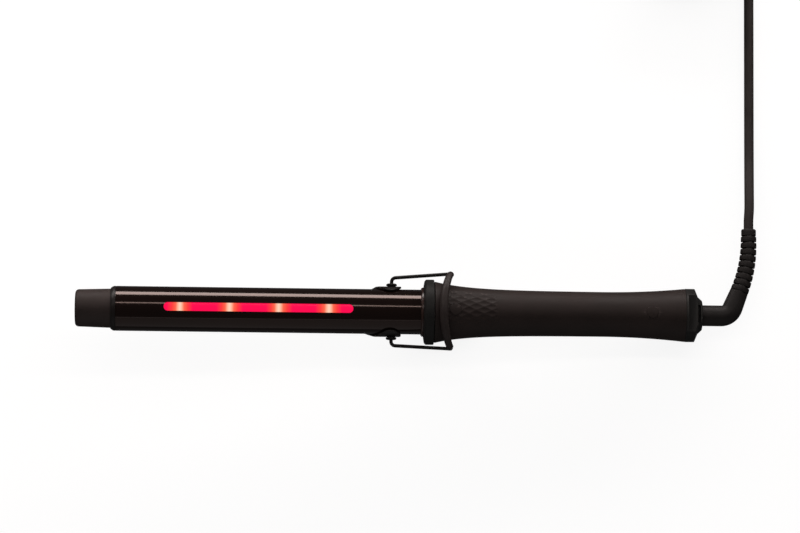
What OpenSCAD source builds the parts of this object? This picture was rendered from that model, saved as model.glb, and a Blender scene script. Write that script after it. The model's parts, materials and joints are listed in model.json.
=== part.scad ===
// Clip curling iron with a lit window in the barrel, a fold-out wire stand and a swivel mains lead.
// Millimetres. Every sub-part is drawn along the iron's own axis: +X from the tip to the handle,
// zero at the front face of the collar ring, +Z towards the lit window, and the clamp underneath.
// lie() then lays the iron on its thumb lever and the rim of its end cap, with the tip in the air.

/* [Barrel] */
// Outside diameter of the heated barrel
barrel_d = 25.4; // [25.2:0.1:25.6]
// Wall of the barrel tube
barrel_wall = 1; // [0.8:0.1:1.2]
// Barrel length that shows in front of the collar ring
barrel_len = 174; // [170:1:180]
// Length of the cool tip
tip_len = 20; // [16:1:24]
// Length of the lit window
window_len = 107; // [90:1:115]
// Width of the lit window
window_w = 4.9; // [4.6:0.1:5.8]
// Number of lamps behind the window
lamp_count = 4; // [2:1:5]
// Distance from lamp to lamp
lamp_pitch = 28; // [20:1:28]

/* [Clamp] */
// Width of the clamp blade
blade_w = 18; // [14:1:20]
// Thickness of the clamp's sheet metal
blade_t = 1.2; // [1:0.1:1.3]
// Depth of the thumb lever below the barrel axis
lever_depth = 24.2; // [24.2:0.1:24.6]
// Width of the thumb lever
lever_w = 15; // [12:1:17]

/* [Stand] */
// Diameter of the stand's wire
stand_wire_d = 1.9; // [1.6:0.1:2]
// Length of the stand's arms, pivot to crossbar
stand_arm = 35; // [34.5:0.1:35.5]
// Half of the crossbar's width
stand_half_w = 21.4; // [21.2:0.1:21.8]
// Angle of the folded arms above the barrel axis
stand_rest = 9.1; // [9:0.1:10]

/* [Handle] */
// Radius of the handle at its waist
waist_r = 12.65; // [12.4:0.05:13]
// Wall of the handle halves
handle_wall = 3; // [2.8:0.1:3]
// Radius of the collar ring
ring_r = 18.5; // [18:0.1:18.6]
// Length of the handle halves
handle_len = 142.1; // [142:0.1:143]

/* [Lead] */
// Diameter of the mains lead
lead_d = 5.5; // [5:0.1:6]

/* [Hidden] */
$fn = 96;
EPS = 0.01;

// Barrel
barrel_r = barrel_d / 2;
bore_r = barrel_r - barrel_wall;
barrel_front = -barrel_len;
barrel_back = 12;
collar_len = 3;
tip_back = barrel_front - collar_len;
tip_front = tip_back - tip_len;
tip_front_r = 10.5;
tip_back_r = 11.1;
tip_wall = 1.8;
tip_edge = 2;
spigot_len = 12;
window_mid = -93.3;
lens_r = barrel_r - 0.15;
lamp_first = window_mid - 2.8 - lamp_pitch * (lamp_count - 1) / 2;
board_z = 8.2;
heater_x = [-136, -60];

// Pivot of the clamp and of the stand
pivot_x = -18.2;
stud_r = 2;
cap_r = 3;
ear_in = barrel_r + 0.45;
ear_out = ear_in + blade_t;
cap_y = ear_out + 0.1;
cap_top = 16;

// Clamp and thumb lever
blade_in = barrel_r + 0.3;
blade_front = -170;
saddle_back = -18.6;
lever_in = lever_depth;
lever_out = lever_depth + blade_t;
lever_knee = -9.5;
lever_end = 30.5;
tab_in = ear_out + 0.02;
pad_x = [-9, 31.5];
pad_half = 9;
spring_x = -4.9;
spring_r = 2.6;
spring_wire = 0.8;
spring_turns = 5;
seat_top = barrel_r + 1.5;

// Stand
pin_r = stand_wire_d / 2;
wire_r = pin_r + 0.05;
pin_out = 16.3;
elbow_r = 2.4;
arm_y = 19.4;
arch_lean = 103;
arch_h = 14.2;
arch_corner = 9;
arch_main = (pow(stand_half_w, 2) - 2 * arch_corner * stand_half_w + pow(arch_h, 2))
    / (2 * (arch_h - arch_corner));
arch_split = atan2(stand_half_w - arch_corner, arch_main - arch_h);
sleeve_w = 4.8;
sleeve_t = 3.6;
sleeve_foot = 3;
sleeve_thin = 0.8;
arm_bend = 2.4;

// Handle
handle_front = 6.2;
handle_back = handle_front + handle_len;
flare_front = 4.75;
flare_front_len = 19.5;
flare_back = 2.4;
flare_back_from = 100;
base_r = 14.1;
base_back = 13.2;
screw_x = [17.8, 129.1];
cover_r = 3.4;
head_z = 4.2;
screw_r = 1.4;
board_x = [34, 124];
board_half = 8.4;
board_top = -1.4;
board_low = -3;
display_x = [41, 57];
button_x = [70, 84, 95];
button_r = 3.6;
button_out = 0.5;
button_travel = 0.6;
wire_sides = 8;

// End cap and swivel
cap_front = handle_back;
rim_back = cap_front + 1.3;
cap_band_back = 153.7;
cap_r_band = 15.1;
cap_step = [10.6, 155.6];
cap_face = [8.4, 158];
cap_flat = 10.95;
neck_r = 5.9;
neck_gap = 0.08;
rotor_back = 149.6;
rotor_r = 5;
rotor_flange_r = 8.9;
bulkhead_x = [143.7, 146.2];
ring_x = [136.8, 140.9];
slip_w = 2.6;
slip_r = 6;

// Strain relief, in the plane of the iron
elbow_x = 173.8;
elbow_turn = 68;
elbow_mid_r = 6.8;
elbow_tube_r = 5.75;
elbow_run = elbow_mid_r * tan(elbow_turn / 2);
stem_len = 10.3;
stem_r = 5.15;
rib_bend_r = 75;
rib_end_y = 45.9;
relief_end_y = 49.7;
rib_r = 5.2;
rib_taper = 0.09;
rib_core_r = 3.7;
rib_t = 2.7;
rib_count = 9;
relief_r = 4.2;

// Laying on the table, with the iron's axis at an angle to it
tilt = 5.5;
lift = rim_back * sin(tilt) + cap_r_band * cos(tilt);
shift = ((-tip_front - cap_face[1]) * cos(tilt)
    + (tip_front_r - tip_edge - cap_face[0]) * sin(tilt)) / 2;

// Mains lead: the free stretch, the stored coil and the tail with the plug, in table coordinates
lead_r = lead_d / 2;
lead_sides = 10;
coil_columns = 3;
coil_layers = 4;
coil_lift = 0.9;
coil_r_out = 36.5;
coil_pitch = lead_d;
coil_mid = [167.3, 228];
coil_h = coil_layers * lead_d;
stem_end = [
    elbow_x + (elbow_run + stem_len) * cos(elbow_turn), (elbow_run + stem_len) * sin(elbow_turn)
];
bend_mid = [stem_end[0] - rib_bend_r * sin(elbow_turn), stem_end[1] + rib_bend_r * cos(elbow_turn)];
relief_x = bend_mid[0] + rib_bend_r;
lead_start = laid([relief_x, relief_end_y, 0]);
lead_route = [
    lead_start, [lead_start[0], 55, lead_start[2]], [203.8, 62, 11], [203.8, 72, 9], [203.8, 82, 6.5],
    [203.8, 92, 4.4], [203.8, 102, 3.2], [203.8, 114, 2.75], [203.8, 128, 2.75],
    [203.8, 142, 2.75], [203.8, 156, 2.75], [203.8, 170, 2.75], [203.8, 184, 2.75],
    [203.8, 196, 2.9], [203.8, 207.5, 3.2]
];
tail_route = [
    [143.3, 262.7, 18.2], [133.3, 261, 15.4], [121.3, 258, 11.6], [109.3, 254.6, 8.4], [98.3, 251.4, 7],
    [93.3, 250, 7]
];
plug_at = tail_route[len(tail_route) - 1];
tail_end = plug_at - tail_route[len(tail_route) - 2];
tail_turn = atan2(tail_end[1], tail_end[0]);

// A point on the iron, in table coordinates.
function laid(p) = [
    shift + p[0] * cos(tilt) + p[2] * sin(tilt), p[1], lift - p[0] * sin(tilt) + p[2] * cos(tilt)
];

// Lays what is drawn along the iron's axis on the table.
module lie() translate([shift, 0, lift]) rotate([0, tilt, 0]) children();

// A solid of revolution about the iron's axis, from [radius, x] points.
module turned(points) rotate([0, 90, 0]) rotate_extrude() polygon(points);

// A round bar along X, along Y, or along Z.
module bar_x(r, from, to) translate([from, 0, 0]) rotate([0, 90, 0]) cylinder(r = r, h = to - from);
module bar_y(r, from, to) translate([0, from, 0]) rotate([-90, 0, 0]) cylinder(r = r, h = to - from);
module bar_z(r, from, to) translate([0, 0, from]) cylinder(r = r, h = to - from);

// A box between two corners.
module block(low, high) translate(low) cube(high - low);

// A rectangle between two corners, with its corners rounded.
module rounded_square(low, high, r) {
    translate([low[0] + r, low[1]]) square([high[0] - low[0] - 2 * r, high[1] - low[1]]);
    translate([low[0], low[1] + r]) square([high[0] - low[0], high[1] - low[1] - 2 * r]);
    for (x = [low[0] + r, high[0] - r]) for (y = [low[1] + r, high[1] - r]) translate([x, y]) circle(r = r);
}

// The same thing on both sides of the iron.
module both_sides() {
    children();
    mirror([0, 1, 0]) children();
}

// A closed tube swept along a line of points. Its section is an oval that is wide across the line,
// along `across` where that is given, and its size at each point is sizes[i] = [half width, half height].
function unit(v) = v / norm(v);
function along(p, i) = unit(p[min(i + 1, len(p) - 1)] - p[max(i - 1, 0)]);
function side_of(t, across) =
    unit(cross(t, !is_undef(across) ? across : abs(t[2]) < 0.9 ? [0, 0, 1] : [1, 0, 0]));
function ring_at(p, i, size, n, across) =
    let (t = along(p, i), u = side_of(t, across), s = cross(t, u))
    [for (k = [0 : n - 1]) p[i] + size[0] * cos(360 * k / n) * s + size[1] * sin(360 * k / n) * u];
module swept_oval(p, sizes, n, across) {
    last = len(p) - 1;
    points = [for (i = [0 : last]) each ring_at(p, i, sizes[i], n, across)];
    sides = [
        for (i = [0 : last - 1]) for (k = [0 : n - 1])
            [i * n + k, i * n + (k + 1) % n, (i + 1) * n + (k + 1) % n, (i + 1) * n + k]
    ];
    start = [for (k = [0 : n - 1]) n - 1 - k];
    end = [for (k = [0 : n - 1]) last * n + k];
    polyhedron(points, concat(sides, [start], [end]));
}
module swept(p, r, n, across) swept_oval(p, [for (q = p) [r, r]], n, across);

// Outside radius of the handle at x: a flare at the front, a waist, and a gentler flare at the back.
function handle_r(x) = waist_r + flare_front * exp(-(x - handle_front) / flare_front_len)
    + (x > flare_back_from
        ? flare_back * pow((x - flare_back_from) / (handle_back - flare_back_from), 2.1) : 0);
handle_steps = [for (i = [0 : 36]) handle_front + handle_len * i / 36];

module handle_outside(grow = 0)
    turned(concat(
        [[0, handle_front]],
        [for (x = handle_steps) [handle_r(x) + grow, x]],
        [[0, handle_back]]
    ));

// The hollow inside the handle: a socket for the barrel's base, then an even wall.
module handle_inside()
    turned(concat(
        [[0, handle_front - 1], [base_r + 0.05, handle_front - 1], [base_r + 0.05, base_back + 0.1]],
        [for (x = handle_steps) if (x > base_back + 2) [handle_r(x) - handle_wall, x]],
        [[handle_r(handle_back) - handle_wall, handle_back + 1], [0, handle_back + 1]]
    ));

// ---- Barrel ----

module cool_tip() {
    spigot_back = tip_back + collar_len + spigot_len;
    outside = concat(
        [for (a = [90 : -15 : 0])
            [tip_front_r - tip_edge + tip_edge * cos(a), tip_front + tip_edge - tip_edge * sin(a)]],
        [[tip_back_r, tip_back], [bore_r - 0.25, tip_back], [bore_r - 0.25, spigot_back]]
    );
    inside = [
        [bore_r - tip_wall, spigot_back], [bore_r - tip_wall, tip_back],
        [tip_front_r - tip_wall, tip_front + tip_wall], [0, tip_front + tip_wall], [0, tip_front]
    ];
    color([0.2, 0.17, 0.16]) lie() turned(concat(outside, inside));
}

module tip_collar()
    color([0.1, 0.09, 0.09]) lie() turned([
        [bore_r - 0.2, tip_back + 0.05], [tip_back_r + 0.4, tip_back + 0.05],
        [barrel_r - 0.35, tip_back + 0.9], [barrel_r, tip_back + 1.9],
        [barrel_r, barrel_front], [bore_r - 0.2, barrel_front]
    ]);

// A slot with round ends, standing up through the lit side of the barrel.
module window_slot(length, width, low, high)
    translate([window_mid, 0, low]) linear_extrude(high - low) {
        square([length - width, width], center = true);
        for (end = [-1, 1]) translate([end * (length - width) / 2, 0]) circle(d = width);
    }

module barrel_tube()
    color([0.16, 0.11, 0.1]) lie() difference() {
        bar_x(barrel_r, barrel_front, barrel_back);
        bar_x(bore_r, barrel_front - 1, barrel_back + 1);
        window_slot(window_len, window_w, 5, barrel_r + 2);
        translate([pivot_x, 0, 0]) bar_y(stud_r + 0.05, -20, 20);
    }

module light_window()
    color([0.95, 0.1, 0.3]) lie() {
        intersection() {
            difference() {
                bar_x(lens_r, -160, -30);
                bar_x(10.5, -161, -29);
            }
            window_slot(window_len - 0.2, window_w - 0.2, 5, barrel_r + 2);
        }
        intersection() {
            difference() {
                bar_x(bore_r - 0.1, -160, -30);
                bar_x(10.5, -161, -29);
            }
            window_slot(window_len + 3, window_w + 3, 5, barrel_r + 2);
        }
    }

module light_board()
    color([0.85, 0.85, 0.8]) lie() block(
        [window_mid - window_len / 2 - 1, -3, board_z], [window_mid + window_len / 2 + 1, 3, board_z + 1]);

module lamps()
    color([1, 0.95, 0.85]) lie()
        for (i = [0 : lamp_count - 1]) translate([lamp_first + i * lamp_pitch, 0, board_z + 1]) {
            translate([-1.6, -1.4, 0]) cube([3.2, 2.8, 0.7]);
            bar_z(1.1, 0.7, 1.15);
        }

// Aluminium extrusion that carries heat from the plate to the tube: an outer skin and a flat web.
module spreader(low, high, web_low, web_high) {
    intersection() {
        difference() {
            bar_x(bore_r - 0.1, heater_x[0], heater_x[1]);
            bar_x(bore_r - 1.3, heater_x[0] - 1, heater_x[1] + 1);
        }
        block([heater_x[0], -20, low], [heater_x[1], 20, high]);
    }
    intersection() {
        bar_x(bore_r - 0.1, heater_x[0], heater_x[1]);
        block([heater_x[0], -20, web_low], [heater_x[1], 20, web_high]);
    }
}
module upper_heat_spreader() color([0.75, 0.76, 0.78]) lie() spreader(1.25, 7.4, 1.25, 2.6);
module lower_heat_spreader() color([0.75, 0.76, 0.78]) lie() spreader(-20, -1.25, -2.6, -1.25);

module heater_plate()
    color([0.9, 0.9, 0.86]) lie() block([heater_x[0] + 4, -6.5, -1.15], [heater_x[1] + 3, 6.5, 1.15]);

module thermal_fuse()
    color([0.8, 0.75, 0.6]) lie() translate([0, 0, -7]) {
        bar_x(1.6, -44, -33);
        bar_x(0.4, -48, -29);
    }

module heat_sensor()
    color([0.85, 0.5, 0.2]) lie() translate([0, 0, -4.6]) {
        translate([-50, 0, 0]) sphere(r = 1.2, $fn = 32);
        bar_x(0.45, -50, -40);
    }

module barrel_base()
    color([0.55, 0.5, 0.44]) lie() difference() {
        bar_x(base_r, handle_front, base_back);
        bar_x(barrel_r + 0.05, handle_front - 1, barrel_back);
        bar_x(bore_r - 1, handle_front - 1, base_back + 1);
    }

module barrel_flange()
    color([0.3, 0.2, 0.18]) lie() turned([
        [barrel_r + 0.08, -1.5], [13.3, -1.5], [13.9, -0.9], [13.9, -0.02], [barrel_r + 0.08, -0.02]
    ]);

module collar_ring()
    color([0.14, 0.14, 0.13]) lie() turned([
        [barrel_r + 0.12, 0], [15, 0], [ring_r - 0.9, 0.45], [ring_r - 0.25, 0.8], [ring_r, 1.4],
        [ring_r, 5.5], [ring_r - 0.3, 5.9], [14.6, 5.9], [14.6, 6.15], [barrel_r + 0.12, 6.15]
    ]);

// ---- Pivots ----

module pivot_studs()
    color([0.12, 0.12, 0.12]) lie() both_sides() translate([pivot_x, 0, 0]) difference() {
        union() {
            bar_y(3, 10.2, 10.9);
            bar_y(stud_r, 10.9, cap_y);
        }
        bar_y(pin_r + 0.05, 12.4, cap_y + 1);
    }

module pivot_caps()
    color([0.08, 0.08, 0.08]) lie() both_sides() translate([pivot_x, 0, 0]) difference() {
        union() {
            bar_y(2.35, cap_y + 0.02, cap_top - 1.3);
            bar_y(cap_r, cap_top - 1.3, cap_top);
        }
        bar_y(pin_r + 0.05, cap_y - 1, cap_top + 1);
    }

module spring_seat()
    color([0.2, 0.2, 0.2]) lie() translate([spring_x, 0, 0]) difference() {
        union() {
            bar_z(3.1, -seat_top, -11.9);
            bar_z(1.6, -seat_top - 1.6, -seat_top);
        }
        bar_x(barrel_r + 0.02, -10, 10);
    }

// ---- Clamp ----

// Side outline of the clamp's saddle: an ear round each pivot that runs down into the blade.
module saddle_outline() {
    translate([pivot_x - 0.5, 1.6]) circle(r = 6);
    polygon([
        [-54, -12.2], [-46, -11.8], [-40, -10.8], [-34.7, -8.6], [-30, -5.1], [-26.8, -0.6], [-24.2, 4],
        [pivot_x - 0.5, 1.6], [-13.1, -0.4], [-15.6, -6], [saddle_back, -10], [saddle_back, -20], [-54, -20]
    ]);
}

module clamp_blade()
    color([0.12, 0.1, 0.1]) lie() {
        intersection() {
            difference() {
                bar_x(blade_in + blade_t, blade_front, -40);
                bar_x(blade_in, blade_front - 1, -39);
            }
            translate([0, 0, -20]) linear_extrude(16) {
                translate([blade_front + blade_w / 2, -blade_w / 2]) square([140, blade_w]);
                translate([blade_front + blade_w / 2, 0]) circle(d = blade_w);
            }
        }
        intersection() {
            difference() {
                bar_x(ear_out, -54, -10);
                bar_x(ear_in, -55, -9);
                translate([pivot_x, 0, 0]) bar_y(stud_r + 0.08, -20, 20);
            }
            rotate([90, 0, 0]) translate([0, 0, -20]) linear_extrude(40) saddle_outline();
        }
    }

// The lever's strip, seen from the side: it drops from the saddle and runs back under the handle.
module lever_side()
    polygon([
        [-19, -tab_in - 0.6], [-15.5, -tab_in - 0.6], [lever_knee, -lever_in], [lever_end, -lever_in],
        [lever_end, -lever_out], [lever_knee - 0.7, -lever_out],
        [-16.2, -tab_in - 1.8], [-19, -tab_in - 1.8]
    ]);

module thumb_lever()
    color([0.12, 0.1, 0.1]) lie() {
        intersection() {
            difference() {
                bar_x(tab_in + blade_t, -33, saddle_back);
                bar_x(tab_in, -34, saddle_back + 1);
            }
            block([-33, -lever_w / 2, -20], [saddle_back, lever_w / 2, -5]);
        }
        intersection() {
            rotate([90, 0, 0]) translate([0, 0, -lever_w / 2]) linear_extrude(lever_w) lever_side();
            translate([0, 0, -40]) linear_extrude(40) {
                translate([-19.2, -lever_w / 2]) square([lever_end + 19.2 - lever_w / 2, lever_w]);
                translate([lever_end - lever_w / 2, 0]) circle(d = lever_w);
            }
        }
        translate([spring_x, 0, 0]) bar_z(1.6, -lever_in - EPS, -lever_in + 1.4);
    }

module lever_rivets()
    color([0.5, 0.5, 0.5]) lie() for (x = [-29.5, -23]) translate([x, 0, 0])
        bar_z(1.7, -tab_in - blade_t - 0.7, -tab_in - blade_t - 0.02);

module lever_pad()
    color([0.14, 0.13, 0.13]) difference() {
        lie() intersection() {
            block([pad_x[0], -pad_half, -40], [pad_x[1], pad_half, -lever_out - 0.02]);
            translate([0, 0, -40]) linear_extrude(40) rounded_square(
                [pad_x[0], -pad_half], [pad_x[1], pad_half], 4);
        }
        block([-100, -50, -50], [200, 50, 0]);
    }

module clamp_spring() {
    low = -lever_in + 0.15 + spring_wire / 2;
    high = -seat_top - 0.15 - spring_wire / 2;
    steps = 14;
    last = spring_turns * steps;
    coil = [
        for (i = [0 : last]) let (a = 360 * i / steps)
            [spring_x + spring_r * cos(a), spring_r * sin(a), low + (high - low) * i / last]
    ];
    color([0.6, 0.6, 0.62]) lie() swept(coil, spring_wire / 2, 6);
}

// ---- Stand ----

// The stand's own frame: origin on the pivot, X along the arms.
module stand_frame() lie() translate([pivot_x, 0, 0]) rotate([0, -stand_rest, 0]) children();

// A flat shape swung round an arc of radius r about Z.
module arc(r, from, sweep)
    rotate([0, 0, from]) rotate_extrude(angle = sweep) translate([r, 0]) children();

// Points round an arc in a plane, from angle a to angle b.
function arc_points(mid, r, a, b, steps) =
    [for (i = [0 : steps]) let (t = a + (b - a) * i / steps) mid + r * [cos(t), sin(t)]];

// Half of the crossbar, from its foot to its top: a tight corner and then a wide arc, as [across, up].
arch_half = concat(
    arc_points([stand_half_w - arch_corner, 0], arch_corner, 0, 90 - arch_split, 5),
    [for (p = arc_points([0, arch_h - arch_main], arch_main, 90 - arch_split, 90, 5)) if (p[0] < 15) p]
);
function in_arch(p) = [stand_arm + cos(arch_lean) * p[1], p[0], sin(arch_lean) * p[1]];
arch_side = [for (p = arch_half) in_arch(p)];

// One side of the wire: out of the pivot, round an elbow, along the arm and up into the crossbar.
arm_side = concat(
    [[0, pin_out, 0]],
    [for (p = arc_points([elbow_r, arm_y - elbow_r], elbow_r, 180, 90, 4)) [p[0], p[1], 0]],
    [[stand_arm - arm_bend, stand_half_w - 0.15, 0], [stand_arm - arm_bend / 3, stand_half_w, arm_bend / 4]]
);
function other_side(points) =
    [for (i = [len(points) - 1 : -1 : 0]) [points[i][0], -points[i][1], points[i][2]]];
function both_halves(points) = concat(
    points,
    [for (p = other_side(points)) if (p[1] < -0.1) p]
);

// A direction that the wire never runs along, which keeps its section from twisting.
wire_across = [1, 0, -1];

module stand_wire()
    color([0.1, 0.1, 0.1]) stand_frame() {
        both_sides() bar_y(pin_r, 12.9, pin_out + 0.5);
        swept(
            both_halves(concat(arm_side, [for (p = arch_side) if (p[2] > arm_bend * 0.9) p])),
            wire_r, 12, wire_across
        );
    }

// The sleeve on the crossbar, thickest in the middle.
sleeve_line = both_halves([for (p = arch_side) if (p[2] > sleeve_foot) p]);
arch_across = [sin(arch_lean), 0, -cos(arch_lean)];
module stand_sleeve()
    color([0.16, 0.14, 0.13]) stand_frame() difference() {
        swept_oval(
            sleeve_line,
            [for (p = sleeve_line)
                [(sleeve_w - sleeve_thin * pow(p[1] / stand_half_w, 2)) / 2, sleeve_t / 2]],
            20, arch_across
        );
        swept(both_halves(arch_side), wire_r + 0.06, 12, wire_across);
    }

// ---- Handle ----

// Half of the wall that carries the front of the swivel's rotor.
module bulkhead(low, high) difference() {
    block([bulkhead_x[0], -20, low], [bulkhead_x[1], 20, high]);
    bar_x(rotor_r + 0.08, 130, 150);
}

module handle_upper()
    color([0.21, 0.16, 0.15]) lie() difference() {
        intersection() {
            handle_outside();
            union() {
                difference() {
                    block([0, -20, 0], [160, 20, 20]);
                    handle_inside();
                }
                for (x = screw_x) translate([x, 0, 0]) bar_z(4.5, 0.6, 18);
                bulkhead(0, 20);
            }
        }
        for (x = screw_x) translate([x, 0, 0]) {
            bar_z(cover_r + 0.08, head_z, 20);
            bar_z(screw_r + 0.25, 0, head_z + 1);
        }
    }

module handle_lower()
    color([0.21, 0.16, 0.15]) lie() difference() {
        intersection() {
            handle_outside();
            union() {
                difference() {
                    block([0, -20, -20], [160, 20, 0]);
                    handle_inside();
                }
                for (x = screw_x) translate([x, 0, 0]) bar_z(3.6, -18, 0.4);
                bulkhead(-20, 0);
            }
        }
        for (x = screw_x) translate([x, 0, 0]) bar_z(screw_r + 0.03, -8.2, 1);
        for (x = button_x) translate([x, 0, 0]) bar_z(button_r + 0.15, -20, -5);
        block([display_x[0] - 0.1, -4.6, -20], [display_x[1] + 0.1, 4.6, -5]);
    }

module handle_screws()
    color([0.6, 0.6, 0.6]) lie() for (x = screw_x) translate([x, 0, 0]) difference() {
        union() {
            bar_z(2.7, head_z + 0.02, head_z + 1.9);
            bar_z(screw_r, -8, head_z + 0.1);
        }
        block([-0.4, -3, head_z + 1.2], [0.4, 3, head_z + 3]);
        block([-3, -0.4, head_z + 1.2], [3, 0.4, head_z + 3]);
    }

module screw_covers()
    color([0.2, 0.15, 0.14]) lie() intersection() {
        handle_outside();
        for (x = screw_x) translate([x, 0, 0]) bar_z(cover_r, 8.5, 20);
    }

module control_board()
    color([0.1, 0.35, 0.2]) lie()
        block([board_x[0], -board_half, board_low], [board_x[1], board_half, board_top]);

module board_parts()
    color([0.25, 0.25, 0.3]) lie() {
        translate([0, 0, board_top + 4.05]) bar_x(4, 92, 106);
        block([40, -6, board_top + 0.02], [50, 6, 5]);
        block([56, -5, board_top + 0.02], [66, 5, 3]);
        block([72, -2.5, board_top + 0.02], [76, 2.5, 6.5]);
        block([112, -7, board_top + 0.02], [121, 7, 4.5]);
    }

module button_switches()
    color([0.3, 0.3, 0.3]) lie() for (x = button_x) translate([x, 0, 0]) {
        block([-3, -3, board_low - 3.2], [3, 3, board_low - 0.02]);
        bar_z(1.5, board_low - 3.9, board_low - 3.1);
    }

module display_module()
    color([0.3, 0.35, 0.35]) lie()
        block([display_x[0] - 1, -5, -8.6], [display_x[1] + 1, 5, board_low - 0.02]);

module display_window()
    color([0.03, 0.03, 0.03]) lie() intersection() {
        block([display_x[0], -4.5, -20], [display_x[1], 4.5, -9]);
        handle_outside(-0.1);
    }

module push_button(x)
    color([0.1, 0.09, 0.09]) lie() translate([x, 0, 0]) {
        intersection() {
            bar_z(button_r, -20, -8.2);
            translate([-x, 0, 0]) handle_outside(button_out);
        }
        bar_z(button_r + 0.8, -8.5, -7.9);
        bar_z(1.2, -8, board_low - 3.9 - button_travel - 0.1);
    }
module power_button() push_button(button_x[0]);
module minus_button() push_button(button_x[1]);
module plus_button() push_button(button_x[2]);

module heater_wires()
    color([0.8, 0.8, 0.75]) lie() both_sides() swept([
        [heater_x[1] + 3.1, 4.5, 0], [-40, 4.5, 0], [0, 6.4, 0], [28, 6.4, -0.5],
        [board_x[0] - 0.4, 6.4, -2.2]
    ], 0.8, wire_sides, [0, 1, 0]);

module light_wires()
    color([0.7, 0.2, 0.2]) lie() both_sides() swept([
        [-37.7, 2, 8.7], [0, 2, 8.7], [10, 6.2, 8], [24, 6.2, 5.5], [31, 6, 1.5], [36, 6, -0.8]
    ], 0.5, wire_sides, [0, 1, 0]);

module supply_wires()
    color([0.25, 0.25, 0.6]) lie() both_sides() swept([
        [board_x[1] + 0.1, 6.2, -2.2], [131, 6.2, -1.5], [135.2, 5.5, 4], [136, 4.2, 8.2]
    ], 0.7, wire_sides, [0, 1, 0]);

module swivel_brushes()
    color([0.75, 0.5, 0.25]) lie() {
        block([135, -4.5, 8.8], [143.5, 4.5, 9.6]);
        for (x = ring_x) block([x + 0.4, -1.5, slip_r + 0.12], [x + slip_w - 0.4, 1.5, 8.9]);
    }

module end_cap()
    color([0.13, 0.13, 0.12]) lie() difference() {
        turned([
            [cap_r_band, cap_front], [cap_r_band, cap_band_back], cap_step, cap_face,
            [neck_r + neck_gap, cap_face[1]], [neck_r + neck_gap, rotor_back + 0.6],
            [rotor_flange_r + 0.4, rotor_back + 0.6], [rotor_flange_r + 0.4, bulkhead_x[1] + 0.3],
            [rotor_flange_r + 2.6, bulkhead_x[1] + 0.3], [rotor_flange_r + 2.6, cap_front]
        ]);
        for (side = [0, 1]) mirror([0, 0, side]) {
            block([rim_back, -20, cap_flat], [160, 20, 20]);
            block([155.1, -5, 6.8], [156.9, 5, 20]);
        }
    }

// ---- Swivel and lead ----

module swivel_rotor()
    color([0.15, 0.15, 0.15]) lie() turned([
        [2, 136], [rotor_r, 136], [rotor_r, bulkhead_x[1] + 0.3], [rotor_flange_r, bulkhead_x[1] + 0.3],
        [rotor_flange_r, rotor_back], [2, rotor_back]
    ]);

module slip_rings()
    color([0.8, 0.6, 0.3]) lie() for (x = ring_x) difference() {
        bar_x(slip_r, x, x + slip_w);
        bar_x(rotor_r + 0.02, x - 1, x + slip_w + 1);
    }

// A disc of the ribbed part, at a distance along its bend and its straight end.
bend_sweep = 90 - elbow_turn;
bend_run = rib_bend_r * bend_sweep * PI / 180;
ribbed_run = bend_run + rib_end_y - bend_mid[1];
module at_relief(run)
    if (run < bend_run)
        translate([bend_mid[0], bend_mid[1], 0])
            rotate([0, 0, run / rib_bend_r * 180 / PI - bend_sweep])
                translate([rib_bend_r, 0, 0]) children();
    else
        translate([relief_x, bend_mid[1] + run - bend_run, 0]) children();

module strain_relief()
    color([0.2, 0.17, 0.16]) lie() {
        bar_x(neck_r, rotor_back + 0.02, elbow_x - elbow_run + 0.3);
        translate([elbow_x - elbow_run, elbow_mid_r, 0])
            arc(elbow_mid_r, -90, elbow_turn) circle(r = elbow_tube_r);
        translate([elbow_x + elbow_run * cos(elbow_turn), elbow_run * sin(elbow_turn), 0])
            rotate([-90, 0, elbow_turn - 90]) translate([0, 0, -0.3])
                cylinder(r1 = elbow_tube_r - 0.1, r2 = stem_r, h = stem_len + 0.3);
        translate([bend_mid[0], bend_mid[1], 0])
            arc(rib_bend_r, -bend_sweep - 0.5, bend_sweep + 0.5) circle(r = rib_core_r);
        translate([relief_x, 0, 0]) {
            bar_y(rib_core_r - 0.02, bend_mid[1] - 0.3, rib_end_y + 0.3);
            bar_y(relief_r, rib_end_y, relief_end_y);
        }
        for (i = [0 : rib_count - 1]) at_relief((i + 0.5) * ribbed_run / rib_count)
            bar_y(rib_r - i * rib_taper, -rib_t / 2, rib_t / 2);
    }

module lead() color([0.25, 0.22, 0.21]) swept(lead_route, lead_r, lead_sides);

// The coil's outer shape: its turns fill a ring with rounded corners.
coil_inner = coil_r_out - (coil_columns - 1) * coil_pitch - lead_r;
coil_outer = coil_r_out + lead_r;
module lead_coil() {
    inner = coil_inner;
    outer = coil_outer;
    corner = 2.5;
    color([0.25, 0.22, 0.21]) translate([coil_mid[0], coil_mid[1], coil_lift]) rotate_extrude()
        polygon([
            [inner + corner, 0], [outer - corner, 0], [outer, corner], [outer, coil_h - corner],
            [outer - corner, coil_h], [inner + corner, coil_h], [inner, coil_h - corner], [inner, corner]
        ]);
}

// A strap round the coil's turns.
module lead_tie() {
    half = 5;
    strap = 0.75;
    inner = sqrt(pow(coil_inner, 2) - pow(half, 2)) - 0.1;
    outer = coil_outer + 0.15;
    color([0.08, 0.08, 0.08]) translate([coil_mid[0], coil_mid[1], 0]) rotate([0, 0, 35]) difference() {
        block([inner - strap, -half, 0], [outer + strap, half, coil_lift + coil_h + 0.9]);
        block([inner, -half - 1, strap + 0.1], [outer, half + 1, coil_lift + coil_h + 0.1]);
    }
}

module lead_tail() color([0.25, 0.22, 0.21]) swept(tail_route, lead_r, lead_sides);

// The plug lies on the table past the end of the tail.
module plug_frame() translate(plug_at) rotate([0, 0, tail_turn]) children();

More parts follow.
